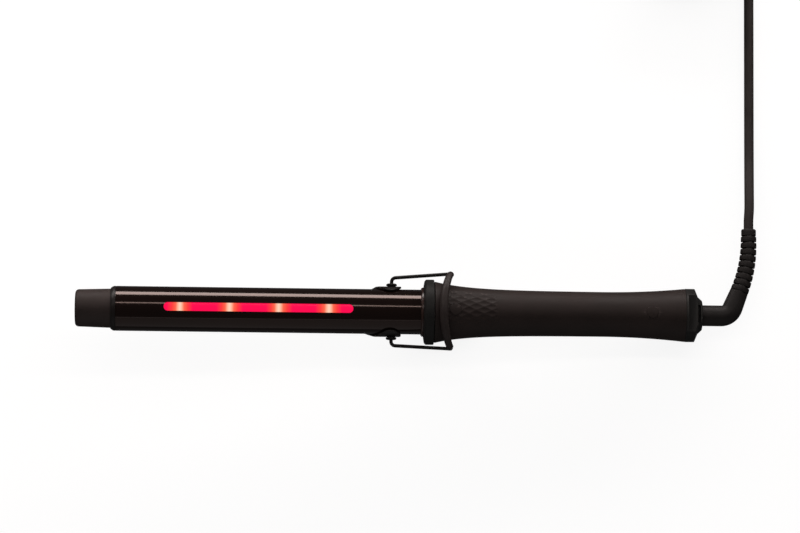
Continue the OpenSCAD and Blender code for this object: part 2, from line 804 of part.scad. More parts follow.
module plug_relief()
    color([0.12, 0.12, 0.12]) plug_frame() difference() {
        union() {
            translate([0.02, 0, 0]) rotate([0, 90, 0]) cylinder(r1 = 3.4, r2 = 4.4, h = 16);
            for (i = [0 : 3]) bar_x(4.3, 2 + i * 3.6, 3.8 + i * 3.6);
        }
        bar_x(1.5, -1, 17);
    }

module plug_body()
    color([0.12, 0.12, 0.12]) plug_frame() intersection() {
        block([16.1, -12, -7], [40, 12, 7]);
        rotate([90, 0, 0]) translate([0, 0, -12]) linear_extrude(24) polygon([
            [16.1, -5], [20, -7], [40, -7], [40, 7], [20, 7], [16.1, 5]
        ]);
        translate([0, 0, -8]) linear_extrude(16) polygon([
            [16.1, -5.5], [24, -9], [36, -12], [40, -12], [40, 12], [36, 12], [24, 9], [16.1, 5.5]
        ]);
    }

module plug_blades()
    color([0.75, 0.65, 0.4]) plug_frame() for (side = [-1, 1])
        translate([0, side * 6.35, 0]) difference() {
            block([40.02, -0.75, -3.17], [56, 0.75, 3.17]);
            translate([52.5, 0, 0]) bar_y(1.6, -3, 3);
        }

cool_tip();
tip_collar();
barrel_tube();
light_window();
light_board();
lamps();
upper_heat_spreader();
lower_heat_spreader();
heater_plate();
thermal_fuse();
heat_sensor();
barrel_base();
barrel_flange();
collar_ring();
pivot_studs();
pivot_caps();
spring_seat();
handle_upper();
handle_lower();
handle_screws();
screw_covers();
control_board();
board_parts();
button_switches();
display_module();
display_window();
heater_wires();
light_wires();
supply_wires();
swivel_brushes();
end_cap();
clamp_blade();
thumb_lever();
lever_rivets();
lever_pad();
clamp_spring();
stand_wire();
stand_sleeve();
power_button();
minus_button();
plus_button();
swivel_rotor();
slip_rings();
strain_relief();
lead();
lead_coil();
lead_tie();
lead_tail();
plug_relief();
plug_body();
plug_blades();
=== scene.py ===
"""Looks of a clip curling iron with a lit window, a fold-out stand and a coiled mains lead.

Shapes on the iron are drawn in millimetres in the iron's own frame: +X from the tip to the handle,
zero at the front face of the collar ring, +Z towards the lit window. The lead is in the row frame.
"""

import json
import math

import bmesh
import bpy
import numpy as np
from mathutils import Matrix, Vector


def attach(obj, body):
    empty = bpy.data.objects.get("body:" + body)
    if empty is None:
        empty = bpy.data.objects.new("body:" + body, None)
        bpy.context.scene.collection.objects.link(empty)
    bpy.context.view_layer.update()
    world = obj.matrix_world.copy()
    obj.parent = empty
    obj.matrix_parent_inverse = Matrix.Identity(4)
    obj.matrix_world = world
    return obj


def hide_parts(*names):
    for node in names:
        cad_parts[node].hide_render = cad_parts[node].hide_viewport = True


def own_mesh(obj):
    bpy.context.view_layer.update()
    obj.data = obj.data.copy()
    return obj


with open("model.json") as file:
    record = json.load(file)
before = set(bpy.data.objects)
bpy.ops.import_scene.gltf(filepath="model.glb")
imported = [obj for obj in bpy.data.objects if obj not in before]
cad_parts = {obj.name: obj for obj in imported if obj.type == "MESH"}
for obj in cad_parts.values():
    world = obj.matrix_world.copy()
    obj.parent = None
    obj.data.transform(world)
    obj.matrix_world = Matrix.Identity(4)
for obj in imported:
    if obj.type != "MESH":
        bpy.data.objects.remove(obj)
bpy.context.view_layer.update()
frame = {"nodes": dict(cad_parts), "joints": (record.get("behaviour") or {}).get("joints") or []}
nodes = frame["nodes"]
joints = {j["name"]: j for j in frame["joints"]}
MM = 0.001

# ---- Frames ----

# Where the swivel joint stands along the iron.
SWIVEL_X = 150
iron_x = Vector(joints["lead_swivel"]["axis"]).normalized()
iron_y = Vector((0, 1, 0))
iron_z = iron_x.cross(iron_y)
IRON = Matrix((iron_x, iron_y, iron_z)).transposed().to_4x4()
IRON.translation = Vector(joints["lead_swivel"]["pos_m"]) - SWIVEL_X * MM * iron_x

PIVOT_X = -18.2
STAND_REST = math.radians(9.1)
STAND = IRON @ Matrix.Translation((PIVOT_X * MM, 0, 0)) @ Matrix.Rotation(-STAND_REST, 4, "Y")


def on_iron(x, y, z):
    """A point of the iron's frame, in millimetres, as a point of the row frame in metres."""
    return IRON @ Vector((x * MM, y * MM, z * MM))


# ---- Camera ----

CAMERA_AT = on_iron(-72.1, -289.15, 2357.3)
CAMERA_TO = on_iron(-13.5, 25.95, 0)
CAMERA_LENS = 188.6
CAMERA_ROLL = math.radians(0.74)
camera_data = bpy.data.cameras.new("camera")
camera_data.lens = CAMERA_LENS
camera_data.clip_end = 20
camera = bpy.data.objects.new("camera", camera_data)
bpy.context.scene.collection.objects.link(camera)
camera.location = CAMERA_AT
forward = (CAMERA_TO - CAMERA_AT).normalized()
picture_up = iron_x.cross(forward).normalized()
picture_right = forward.cross(picture_up)
turn = Matrix((picture_right, picture_up, -forward)).transposed()
camera.rotation_euler = (turn @ Matrix.Rotation(CAMERA_ROLL, 3, "Z")).to_euler()
bpy.context.scene.camera = camera
bpy.context.scene.view_settings.view_transform = "Standard"

# ---- Materials ----

# Stops on the noise that mixes two tones, and on how sharp an edge is before its wear shows.
TONE_FROM, TONE_TO = 0.3, 0.7
WORN_FROM, WORN_FULL = 0.52, 0.6


def node_of(tree, kind, **values):
    """A new node of a material, with its inputs set by name."""
    new = tree.nodes.new(kind)
    for name, value in values.items():
        new.inputs[name.replace("_", " ")].default_value = value
    return new


def ramp(tree, source, stops):
    """A colour ramp through (position, colour) stops."""
    new = tree.nodes.new("ShaderNodeValToRGB")
    while len(new.color_ramp.elements) < len(stops):
        new.color_ramp.elements.new(0.5)
    for element, (at, colour) in zip(new.color_ramp.elements, stops):
        element.position = at
        element.color = (*colour, 1)
    tree.links.new(source, new.inputs["Fac"])
    return new.outputs["Color"]


def material(name, dark, light, rough=(0.4, 0.5), blotch=60, grain=(900, 0.15, 0.00005), metal=0.0,
             stretch=(1, 1, 1), wear=None, **shader):
    """Two tones in soft blotches, a roughness that follows them, a fine grain bump and worn edges."""
    made = bpy.data.materials.new(name)
    made.use_nodes = True
    tree = made.node_tree
    principled = tree.nodes["Principled BSDF"]
    principled.inputs["Metallic"].default_value = metal
    for socket, value in shader.items():
        principled.inputs[socket.replace("_", " ")].default_value = value
    place = tree.nodes.new("ShaderNodeTexCoord")
    scaled = node_of(tree, "ShaderNodeMapping", Scale=stretch)
    tree.links.new(place.outputs["Object"], scaled.inputs["Vector"])
    tone = node_of(tree, "ShaderNodeTexNoise", Scale=blotch, Detail=5, Roughness=0.6)
    tree.links.new(scaled.outputs["Vector"], tone.inputs["Vector"])
    colour = ramp(tree, tone.outputs["Fac"], [(TONE_FROM, dark), (TONE_TO, light)])
    if wear:
        edges = tree.nodes.new("ShaderNodeNewGeometry")
        share = ramp(tree, edges.outputs["Pointiness"], [(WORN_FROM, (0, 0, 0)), (WORN_FULL, (1, 1, 1))])
        mixed = tree.nodes.new("ShaderNodeMix")
        mixed.data_type = "RGBA"
        tree.links.new(share, mixed.inputs["Factor"])
        tree.links.new(colour, mixed.inputs["A"])
        mixed.inputs["B"].default_value = (*wear, 1)
        colour = mixed.outputs["Result"]
    tree.links.new(colour, principled.inputs["Base Color"])
    spread = node_of(tree, "ShaderNodeMapRange", From_Min=TONE_FROM, From_Max=TONE_TO,
                     To_Min=rough[0], To_Max=rough[1])
    tree.links.new(tone.outputs["Fac"], spread.inputs["Value"])
    tree.links.new(spread.outputs["Result"], principled.inputs["Roughness"])
    fine = node_of(tree, "ShaderNodeTexNoise", Scale=grain[0], Detail=3)
    tree.links.new(scaled.outputs["Vector"], fine.inputs["Vector"])
    bump = node_of(tree, "ShaderNodeBump", Strength=grain[1], Distance=grain[2])
    tree.links.new(fine.outputs["Fac"], bump.inputs["Height"])
    tree.links.new(bump.outputs["Normal"], principled.inputs["Normal"])
    return made


LAMP_FIRST = -138.1
LAMP_PITCH = 28
# Millimetres: how far the glow's pattern wanders, and how far it is moved along.
GLOW_WOBBLE = 1.2
GLOW_SHIFT = 1.0
GLOW_PINK = (1.0, 0.0037, 0.078)
GLOW_RED = (1.0, 0.045, 0.045)
GLOW_CREAM = (1.0, 0.67, 0.5)


def lit_window():
    """A red diffuser lit from behind: a pink strip with a red halo and a cream core at each lamp."""
    made = material("lit_window", (0.05, 0.001, 0.006), (0.07, 0.0015, 0.009), (0.12, 0.2), 300,
                    Emission_Strength=1.0, Specular_IOR_Level=0.08)
    tree = made.node_tree
    principled = tree.nodes["Principled BSDF"]
    place = tree.nodes.new("ShaderNodeTexCoord")
    parts = tree.nodes.new("ShaderNodeSeparateXYZ")
    tree.links.new(place.outputs["Object"], parts.inputs["Vector"])
    wobble = node_of(tree, "ShaderNodeTexNoise", Scale=90, Detail=1)
    tree.links.new(place.outputs["Object"], wobble.inputs["Vector"])

    def maths(operation, a, b=0.0):
        new = tree.nodes.new("ShaderNodeMath")
        new.operation = operation
        for socket, value in zip(new.inputs, (a, b)):
            if isinstance(value, (int, float)):
                socket.default_value = value
            else:
                tree.links.new(value, socket)
        return new.outputs[0]

    shaken = maths("ADD", parts.outputs["X"], maths("MULTIPLY", wobble.outputs["Fac"], GLOW_WOBBLE * MM))
    start = (LAMP_FIRST - LAMP_PITCH / 2 + GLOW_SHIFT) * MM
    turns = maths("DIVIDE", maths("SUBTRACT", shaken, start), LAMP_PITCH * MM)
    away = maths("ABSOLUTE", maths("SUBTRACT", maths("FRACT", turns), 0.5))
    glow = ramp(tree, away, [(0.0, GLOW_CREAM), (0.035, (1.0, 0.5, 0.33)), (0.085, (1.0, 0.14, 0.07)),
                             (0.16, GLOW_RED), (0.26, GLOW_PINK), (0.5, GLOW_PINK)])
    tree.links.new(glow, principled.inputs["Emission Color"])
    return made


BARREL = material(
    "barrel_coating", (0.005, 0.0025, 0.0021), (0.0075, 0.0037, 0.003), (0.09, 0.13), 40,
    (2600, 0.04, 0.00001), stretch=(0.25, 1, 1), IOR=1.52, Specular_Tint=(1, 0.78, 0.72, 1))
TIP = material(
    "tip_plastic", (0.026, 0.019, 0.0175), (0.033, 0.024, 0.022), (0.5, 0.62), 90, (1500, 0.25, 0.00004),
    wear=(0.05, 0.04, 0.037), Specular_IOR_Level=0.14)
TIP_COLLAR = material(
    "tip_collar_plastic", (0.008, 0.0065, 0.006), (0.012, 0.0095, 0.009), (0.35, 0.45), 120,
    (1500, 0.2, 0.00003), Specular_IOR_Level=0.2)
FLANGE = material("flange_coating", (0.02, 0.01, 0.008), (0.035, 0.018, 0.014), (0.2, 0.3), 120)
COLLAR = material(
    "collar_plastic", (0.0115, 0.0113, 0.0108), (0.016, 0.0156, 0.015), (0.4, 0.5), 80,
    (1400, 0.2, 0.00003), wear=(0.04, 0.038, 0.036), Specular_IOR_Level=0.07)
GRIP = material(
    "soft_touch", (0.0155, 0.011, 0.0098), (0.021, 0.0145, 0.013), (0.5, 0.62), 45, (1700, 0.3, 0.00003),
    wear=(0.04, 0.03, 0.028), Specular_IOR_Level=0.14)
STEEL_BLACK = material(
    "black_wire", (0.006, 0.0055, 0.005), (0.012, 0.0105, 0.0095), (0.3, 0.42), 200, (2200, 0.2, 0.00002),
    Specular_IOR_Level=0.14)
SLEEVE = material(
    "sleeve_rubber", (0.019, 0.0145, 0.0135), (0.027, 0.021, 0.0195), (0.38, 0.48), 110,
    (1800, 0.2, 0.00003), Specular_IOR_Level=0.14)
CLAMP = material(
    "clamp_coating", (0.006, 0.0055, 0.005), (0.010, 0.009, 0.0085), (0.22, 0.32), 60,
    (1600, 0.15, 0.00003), wear=(0.035, 0.03, 0.028), Specular_IOR_Level=0.2)
PAD = material(
    "pad_rubber", (0.012, 0.011, 0.0105), (0.018, 0.0165, 0.016), (0.6, 0.75), 120, (1300, 0.5, 0.00006),
    Specular_IOR_Level=0.14)
KEYS = material(
    "key_plastic", (0.012, 0.0105, 0.01), (0.017, 0.015, 0.0145), (0.35, 0.45), 200, (1900, 0.2, 0.00003),
    Specular_IOR_Level=0.25)
GLASS_FACE = material(
    "display_glass", (0.002, 0.002, 0.0022), (0.004, 0.004, 0.0045), (0.04, 0.08), 150,
    (2500, 0.02, 0.00001))
RELIEF = material(
    "relief_rubber", (0.0105, 0.009, 0.0086), (0.015, 0.0127, 0.012), (0.5, 0.6), 90, (1500, 0.3, 0.00004),
    wear=(0.028, 0.023, 0.021), Specular_IOR_Level=0.14)
LEAD = material(
    "lead_rubber", (0.025, 0.0205, 0.019), (0.033, 0.027, 0.0255), (0.45, 0.56), 70, (1500, 0.25, 0.00004),
    Specular_IOR_Level=0.14)
PLUG = material(
    "plug_rubber", (0.012, 0.011, 0.0105), (0.02, 0.018, 0.017), (0.5, 0.6), 90, (1500, 0.3, 0.00004),
    Specular_IOR_Level=0.14)
BRASS = material(
    "brass", (0.55, 0.38, 0.16), (0.68, 0.5, 0.24), (0.25, 0.36), 220, (2400, 0.12, 0.00002), metal=1.0)
STEEL = material(
    "bare_steel", (0.32, 0.31, 0.3), (0.45, 0.44, 0.42), (0.25, 0.38), 260,
    (2200, 0.15, 0.00002), metal=1.0)
ALUMINIUM = material(
    "bare_aluminium", (0.6, 0.6, 0.61), (0.75, 0.75, 0.77), (0.3, 0.42), 150,
    (1600, 0.2, 0.00003), metal=1.0)
WINDOW = lit_window()

INSIDE = {
    "light_board": material("board_white", (0.6, 0.6, 0.55), (0.75, 0.75, 0.7), (0.4, 0.5), 300),
    "lamps": material("lamp_resin", (0.8, 0.75, 0.6), (0.95, 0.9, 0.78), (0.2, 0.3), 500),
    "upper_heat_spreader": ALUMINIUM,
    "lower_heat_spreader": ALUMINIUM,
    "heater_plate": material("heater_ceramic", (0.72, 0.72, 0.68), (0.84, 0.84, 0.8), (0.6, 0.75), 200),
    "thermal_fuse": material("fuse_case", (0.55, 0.5, 0.38), (0.72, 0.66, 0.5), (0.35, 0.45), 300),
    "heat_sensor": material("sensor_bead", (0.6, 0.3, 0.1), (0.75, 0.42, 0.16), (0.2, 0.3), 400),
    "barrel_base": material("base_insulator", (0.4, 0.36, 0.31), (0.5, 0.45, 0.39), (0.5, 0.6), 150),
    "pivot_studs": STEEL_BLACK,
    "spring_seat": CLAMP,
    "handle_screws": STEEL,
    "control_board": material("board_resin", (0.01, 0.08, 0.035), (0.02, 0.13, 0.06), (0.35, 0.45), 400),
    "board_parts": material("part_cases", (0.03, 0.03, 0.04), (0.09, 0.09, 0.11), (0.3, 0.5), 150),
    "button_switches": material("switch_cases", (0.04, 0.04, 0.04), (0.08, 0.08, 0.08), (0.35, 0.45), 300),
    "display_module": material("display_case", (0.06, 0.08, 0.08), (0.1, 0.13, 0.13), (0.3, 0.4), 250),
    "heater_wires": material("glass_sleeving", (0.5, 0.5, 0.45), (0.7, 0.7, 0.64), (0.6, 0.75), 700),
    "light_wires": material("red_wire", (0.35, 0.03, 0.03), (0.45, 0.05, 0.05), (0.35, 0.45), 400),
    "supply_wires": material("blue_wire", (0.03, 0.03, 0.25), (0.05, 0.05, 0.35), (0.35, 0.45), 400),
    "swivel_brushes": BRASS,
    "swivel_rotor": PLUG,
    "slip_rings": BRASS,
}
for name, look in INSIDE.items():
    nodes[name].data.materials.clear()
    nodes[name].data.materials.append(look)

# ---- Mesh helpers, in millimetres ----


def new_mesh(name, points, faces, place=None):
    """A mesh in metres, with its doubles merged and its faces turned outwards."""
    mesh = bpy.data.meshes.new(name)
    mesh.from_pydata([tuple(float(c) * MM for c in p) for p in points], [], faces)
    if place is not None:
        mesh.transform(place)
    work = bmesh.new()
    work.from_mesh(mesh)
    bmesh.ops.remove_doubles(work, verts=work.verts, dist=1e-7)
    bmesh.ops.recalc_face_normals(work, faces=work.faces)
    work.to_mesh(mesh)
    work.free()
    return mesh


def piece(name, points, faces, look, body, slot, replaces=(), place=IRON, sharp=38, baked=True):
    """A new mesh piece that rides on a body. Its points are in millimetres in the frame `place`.

    The mesh is in the row frame, or in the frame `place` where it isn't baked.
    """
    mesh = new_mesh(name, points, faces, place if baked else None)
    mesh.materials.append(look)
    made = bpy.data.objects.new(name, mesh)
    bpy.context.scene.collection.objects.link(made)
    if not baked:
        made.matrix_world = place
    shade(mesh, sharp)
    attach(made, body)
    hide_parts(*(replaces or (name,)))
    return made


def shade(mesh, sharp):
    mesh.polygons.foreach_set("use_smooth", [True] * len(mesh.polygons))
    mesh.set_sharp_from_angle(angle=math.radians(sharp))


def carve(target, cutters, sharp=38):
    """Cuts (points, faces) solids out of a piece, with the exact solver."""
    for points, faces in cutters:
        tool = bpy.data.objects.new("cutter", new_mesh("cutter", points, faces))
        tool.matrix_world = IRON
        bpy.context.scene.collection.objects.link(tool)
        cut = target.modifiers.new("cut", "BOOLEAN")
        cut.operation = "DIFFERENCE"
        cut.solver = "EXACT"
        cut.object = tool
        graph = bpy.context.evaluated_depsgraph_get()
        result = bpy.data.meshes.new_from_object(target.evaluated_get(graph))
        target.modifiers.clear()
        look = target.data.materials[0]
        target.data = result
        result.materials.clear()
        result.materials.append(look)
        bpy.data.objects.remove(tool)
    shade(target.data, sharp)


def loft(rings, closed=False):
    """Joins rings of as many points each into a tube. Its ends are capped unless it is closed."""
    count = len(rings[0])
    points = [p for ring in rings for p in ring]
    faces = []
    last = len(rings) if closed else len(rings) - 1
    for i in range(last):
        here, there = i * count, (i + 1) % len(rings) * count
        for k in range(count):
            n = (k + 1) % count
            faces.append((here + k, here + n, there + n, there + k))
    if not closed:
        faces.append(tuple(range(count)))
        faces.append(tuple(range((len(rings) - 1) * count, len(rings) * count)))
    return points, faces


def joined(solids):
    """Several (points, faces) solids as one."""
    points, faces = [], []
    for part, sides in solids:
        start = len(points)
        points += part
        faces += [tuple(start + i for i in side) for side in sides]
    return points, faces


def lathe(profile, segments=160):
    """A closed outline of (x, radius) points turned about X. A point on the axis becomes a tiny ring."""
    rings = []
    for x, r in profile:
        r = max(r, 1e-4)
        rings.append([(x, r * math.cos(math.tau * k / segments), r * math.sin(math.tau * k / segments))
                      for k in range(segments)])
    return loft(rings, closed=True)


def fillet(outline, radius, steps=4):
    """The outline with its corners rounded. A corner keeps its own radius where it is a third number."""
    count = len(outline)
    out = []
    for i, corner in enumerate(outline):
        r = corner[2] if len(corner) > 2 else radius
        at = np.array(corner[:2], float)
        if r <= 0:
            out.append(tuple(at))
            continue
        before = np.array(outline[i - 1][:2], float) - at
        after = np.array(outline[(i + 1) % count][:2], float) - at
        a, b = before / np.linalg.norm(before), after / np.linalg.norm(after)
        half = math.acos(max(-1, min(1, float(a @ b)))) / 2
        if half > math.radians(88):
            out.append(tuple(at))
            continue
        reach = min(r / math.tan(half), 0.48 * np.linalg.norm(before), 0.48 * np.linalg.norm(after))
        r = reach * math.tan(half)
        middle = at + (a + b) / np.linalg.norm(a + b) * r / math.sin(half)
        start, end = at + a * reach - middle, at + b * reach - middle
        sweep = math.acos(max(-1, min(1, float(start @ end) / r ** 2)))
        for k in range(steps + 1):
            share = k / steps
            mix = (math.sin((1 - share) * sweep) * start + math.sin(share * sweep) * end) / math.sin(sweep)
            out.append(tuple(middle + mix))
    return out


def cylinder(at, radius, low, high, axis="z"):
    """A cutter along Z or Y, from low to high."""
    def spot(a, b, along):
        return (at[0] + a, at[1] + b, along) if axis == "z" else (at[0] + a, along, at[1] + b)
    return loft([[spot(a, b, along) for a, b in disc(radius, count=64)] for along in (low, high)])


def box(low, high):
    """A box cutter between two corners."""
    x, y, z = zip(low, high)
    return loft([[(x[0], y[0], c), (x[1], y[0], c), (x[1], y[1], c), (x[0], y[1], c)] for c in z])


def slot_prism(middle, length, width, low, high):
    """A cutter for a slot with round ends, along X."""
    steps = 20
    ring = []
    for end in (1, -1):
        for k in range(steps + 1):
            a = math.pi * k / steps - end * math.pi / 2
            x = middle + end * (length - width) / 2 + width / 2 * math.cos(a)
            ring.append((x, width / 2 * math.sin(a)))
    return loft([[(x, y, z) for x, y in ring] for z in (low, high)])


def smooth_path(points, steps):
    """A dense Catmull-Rom line through the points."""
    p = [np.array(q, float) for q in points]
    p = [2 * p[0] - p[1], *p, 2 * p[-1] - p[-2]]
    line = []
    for i in range(1, len(p) - 2):
        for k in range(steps):
            t = k / steps
            line.append(0.5 * (2 * p[i] + (p[i + 1] - p[i - 1]) * t
                               + (2 * p[i - 1] - 5 * p[i] + 4 * p[i + 1] - p[i + 2]) * t ** 2
                               + (3 * p[i] - 3 * p[i + 1] + p[i + 2] - p[i - 1]) * t ** 3))
    line.append(p[-2])
    return line


def sweep(line, section, up=(0, 0, 1)):
    """Rings of a tube along a line. section(i) gives its outline there as (across, up) points."""
    line = [np.array(p, float) for p in line]
    up = np.array(up, float)
    rings = []
    for i, p in enumerate(line):
        along = line[min(i + 1, len(line) - 1)] - line[max(i - 1, 0)]
        along /= np.linalg.norm(along)
        across = np.cross(up, along)
        across /= np.linalg.norm(across)
        rise = np.cross(along, across)
        rings.append([tuple(p + a * across + b * rise) for a, b in section(i)])
    return rings


def disc(a, b=None, count=24):
    """An oval outline."""
    b = a if b is None else b
    turns = [math.tau * k / count for k in range(count)]
    return [(a * math.cos(turn), b * math.sin(turn)) for turn in turns]


# ---- Mains lead: the free stretch, the stored coil and the tail, in the row frame ----

LEAD_R = 2.75
COIL_MID = (167.3, 228)
COIL_RADIUS = 36.5
COIL_LIFT = 0.9
PITCH = 2 * LEAD_R
COLUMNS = 3
LAYERS = 4
LEAD_EXIT = (203.402, 49.7, 11.653)
LEAD_ROUTE = [
    LEAD_EXIT, (203.402, 55, 11.653), (203.8, 62, 11), (203.8, 72, 9), (203.8, 82, 6.5), (203.8, 92, 4.4),
    (203.8, 102, 3.2), (203.8, 114, 2.75), (203.8, 128, 2.75), (203.8, 142, 2.75), (203.8, 156, 2.75),
    (203.8, 170, 2.75), (203.8, 184, 2.75), (203.8, 196, 2.9), (203.8, 207.5, 3.2),
]
TAIL_ROUTE = [
    (143.3, 262.7, 18.2), (133.3, 261, 15.4), (121.3, 258, 11.6), (109.3, 254.6, 8.4), (98.3, 251.4, 7),
    (93.3, 250, 7),
]
RAMP = 0.25
FIRST_RAMP = 0.875
COIL_TURNS = 10.25
TIE_ANGLE = math.radians(35)


def coil_ramps():
    """Where the turns step to the next column or layer: (turn, column step, layer step)."""
    steps = []
    at = FIRST_RAMP
    for layer in range(LAYERS):
        inward = -1 if layer % 2 == 0 else 1
        steps += [(at, inward, 0), (at + 1, inward, 0)]
        if layer < LAYERS - 1:
            steps.append((at + 2 - RAMP, 0, 1))
            at += 3 - 2 * RAMP
    return steps


def coil_point(turn, steps):
    column = layer = 0.0
    for at, out, up in steps:
        share = min(max((turn - at) / RAMP + 0.5, 0), 1)
        share = 0.5 - 0.5 * math.cos(math.pi * share)
        column += out * share
        layer += up * share
    r = COIL_RADIUS + column * PITCH
    angle = math.tau * turn
    return (COIL_MID[0] + r * math.cos(angle), COIL_MID[1] + r * math.sin(angle),
            COIL_LIFT + LEAD_R + layer * PITCH)


TURN_POINTS = 32
ramps = coil_ramps()
coil_line = [coil_point(i / TURN_POINTS, ramps) for i in range(int(COIL_TURNS * TURN_POINTS) + 1)]
lead_line = [
    *smooth_path([*LEAD_ROUTE, coil_line[0]], 3)[:-1], *coil_line,
    *smooth_path([coil_line[-1], (157.3, 264.2, 20), *TAIL_ROUTE], 3)[1:],
]


def make_lead():
    curve = bpy.data.curves.new("mains_lead", "CURVE")
    curve.dimensions = "3D"
    curve.bevel_depth = LEAD_R * MM
    curve.bevel_resolution = 8
    curve.use_fill_caps = True
    spline = curve.splines.new("POLY")
    spline.points.add(len(lead_line) - 1)
    for point, at in zip(spline.points, lead_line):
        point.co = (*(c * MM for c in at), 1)
    spline.use_smooth = True
    curve.materials.append(LEAD)
    made = bpy.data.objects.new("mains_lead", curve)
    bpy.context.scene.collection.objects.link(made)
    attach(made, "swivel")
    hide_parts("lead", "lead_coil", "lead_tail")
    return made


def make_tie():
    """A flat strap round the coil's turns."""
    inner, outer = COIL_RADIUS - (COLUMNS - 1) * PITCH - LEAD_R - 0.66, COIL_RADIUS + LEAD_R + 0.15
    low, high = 0.4, COIL_LIFT + LAYERS * PITCH + 0.55
    strap, half = 0.36, 4.8
    near, far = inner - 0.4, outer + 0.4
    loop = fillet([(near, low), (far, low), (far, high), (near, high)], 2.4, 8)
    section = fillet([(-half, -strap), (half, -strap), (half, strap), (-half, strap)], 0.25, 3)
    rings = []
    for i, (r, z) in enumerate(loop):
        before, after = loop[i - 1], loop[(i + 1) % len(loop)]
        along = np.array([after[0] - before[0], after[1] - before[1]])
        along /= np.linalg.norm(along)
        rings.append([(r - along[1] * b, a, z + along[0] * b) for a, b in section])
    points, faces = loft(rings, closed=True)
    middle = Matrix.Translation((COIL_MID[0] * MM, COIL_MID[1] * MM, 0))
    place = middle @ Matrix.Rotation(TIE_ANGLE, 4, "Z")
    return piece("lead_tie_strap", points, faces, PAD, "swivel", "dark_plastic", ("lead_tie",), place)


# ---- Strain relief ----

NECK_R = 5.9
ELBOW_R = 5.7
STEM_R = 5.12
RIB_R = 5.2
RIB_TAPER = 0.09
RELIEF_END_R = 4.2
RIB_COUNT = 9
NECK_STEPS = 12
ELBOW_STEPS = 14
STEM_STEPS = 12
RIB_STEPS = 16


def relief_line():
    """The relief's middle line: along the axis, round the elbow, up the stem and round to +Y."""
    elbow_x, elbow_turn, elbow_mid_r = 173.8, math.radians(68), 6.8
    stem_len, bend_r, rib_end, relief_end = 10.3, 75, 45.9, 49.7
    run = elbow_mid_r * math.tan(elbow_turn / 2)
    line = [(x, 0) for x in np.linspace(149.7, elbow_x - run, NECK_STEPS)]
    for k in range(1, ELBOW_STEPS + 1):
        a = elbow_turn * k / ELBOW_STEPS
        line.append((elbow_x - run + elbow_mid_r * math.sin(a), elbow_mid_r * (1 - math.cos(a))))
    stem_from = len(line)
    end = (elbow_x + (run + stem_len) * math.cos(elbow_turn), (run + stem_len) * math.sin(elbow_turn))
    begin = line[-1]
    for k in range(1, STEM_STEPS + 1):
        share = k / STEM_STEPS
        line.append((begin[0] + (end[0] - begin[0]) * share, begin[1] + (end[1] - begin[1]) * share))
    ribs_from = len(line)
    middle = (end[0] - bend_r * math.sin(elbow_turn), end[1] + bend_r * math.cos(elbow_turn))
    bend = bend_r * (math.pi / 2 - elbow_turn)
    total = bend + rib_end - middle[1]
    steps = RIB_COUNT * RIB_STEPS
    for k in range(1, steps + 1):
        run_here = total * k / steps
        if run_here < bend:
            a = elbow_turn - math.pi / 2 + run_here / bend_r
            line.append((middle[0] + bend_r * math.cos(a), middle[1] + bend_r * math.sin(a)))
        else:
            line.append((middle[0] + bend_r, middle[1] + run_here - bend))
    collar_from = len(line)
    for y in (46, 46.2, 46.6, 47.9, 49.1, 49.5, relief_end):
        line.append((middle[0] + bend_r, y))
    return line, stem_from, ribs_from, collar_from


def make_relief():
    """The swivel's neck, its elbow and stem, nine ribs parted by grooves, and a plain end."""
    line, stem_from, ribs_from, collar_from = relief_line()
    last = len(line) - 1
    count = 64

    def section(i):
        if i < stem_from:
            blend = max(0, (i - NECK_STEPS + 1) / (stem_from - NECK_STEPS))
            base = NECK_R + (ELBOW_R - NECK_R) * min(1, blend)
            gap = 0
        elif i < ribs_from:
            base = ELBOW_R + (STEM_R - ELBOW_R) * (i - stem_from) / (ribs_from - stem_from)
            gap = 0
        elif i < collar_from:
            turns = (i - ribs_from + 1) / RIB_STEPS
            phase = turns % 1
            base = RIB_R - RIB_TAPER * turns
            edge = 0.5 - abs(phase - 0.5)
            gap = 1.05 * (1 - min(1, max(0, (edge - 0.06) / 0.06)))
            base -= 0.12 * (1 - math.sin(math.pi * min(1, max(0, (phase - 0.08) / 0.84))))
        else:
            ends = {collar_from: 0.25, last - 1: 0.15, last: 0.4}
            base = RELIEF_END_R - ends.get(i, 0)
            gap = 0
        out = []
        for k in range(count):
            a = math.tau * k / count
            side = abs(math.cos(a))
            open_here = min(1, max(0, (side - 0.34) / 0.12))
            r = base - gap * (0.22 + 0.78 * open_here)
            out.append((r * math.cos(a), r * math.sin(a)))
        return out

    rings = sweep([(x, y, 0) for x, y in line], section)
    points, faces = loft(rings)
    return piece("strain_relief_ribbed", points, faces, RELIEF, "swivel", "relief_rubber",
                 ("strain_relief",), sharp=50)


# ---- Plug ----

plug_end = np.array(TAIL_ROUTE[-1][:2]) - np.array(TAIL_ROUTE[-2][:2])
PLUG_FRAME = Matrix.Translation(Vector(TAIL_ROUTE[-1]) * MM) @ Matrix.Rotation(
    math.atan2(plug_end[1], plug_end[0]), 4, "Z")


PLUG_FACE = 39.98
BLADE_TIP = 56
BLADE_HALF = 3.17
BLADE_THICK = 1.5
BLADE_Y = (-6.35, 6.35)


def make_plug_relief():
    profile = [(0.1, 2.8), (0.1, 3.2), (0.4, 3.5)]
    for i in range(4):
        x = 1.6 + i * 3.6
        core = 3.55 + 0.2 * i
        rib = [(0, core), (0.3, 4.1), (0.6, 4.3), (1.7, 4.3), (2.0, 4.1), (2.3, core)]
        profile += [(x + along, r) for along, r in rib]
    profile += [(15.9, 4.35), (16.05, 4.3), (16.05, 2.8)]
    points, faces = lathe(profile, 48)
    return piece("plug_relief_ribbed", points, faces, PLUG, "swivel", "plug_rubber", ("plug_relief",),
                 PLUG_FRAME)


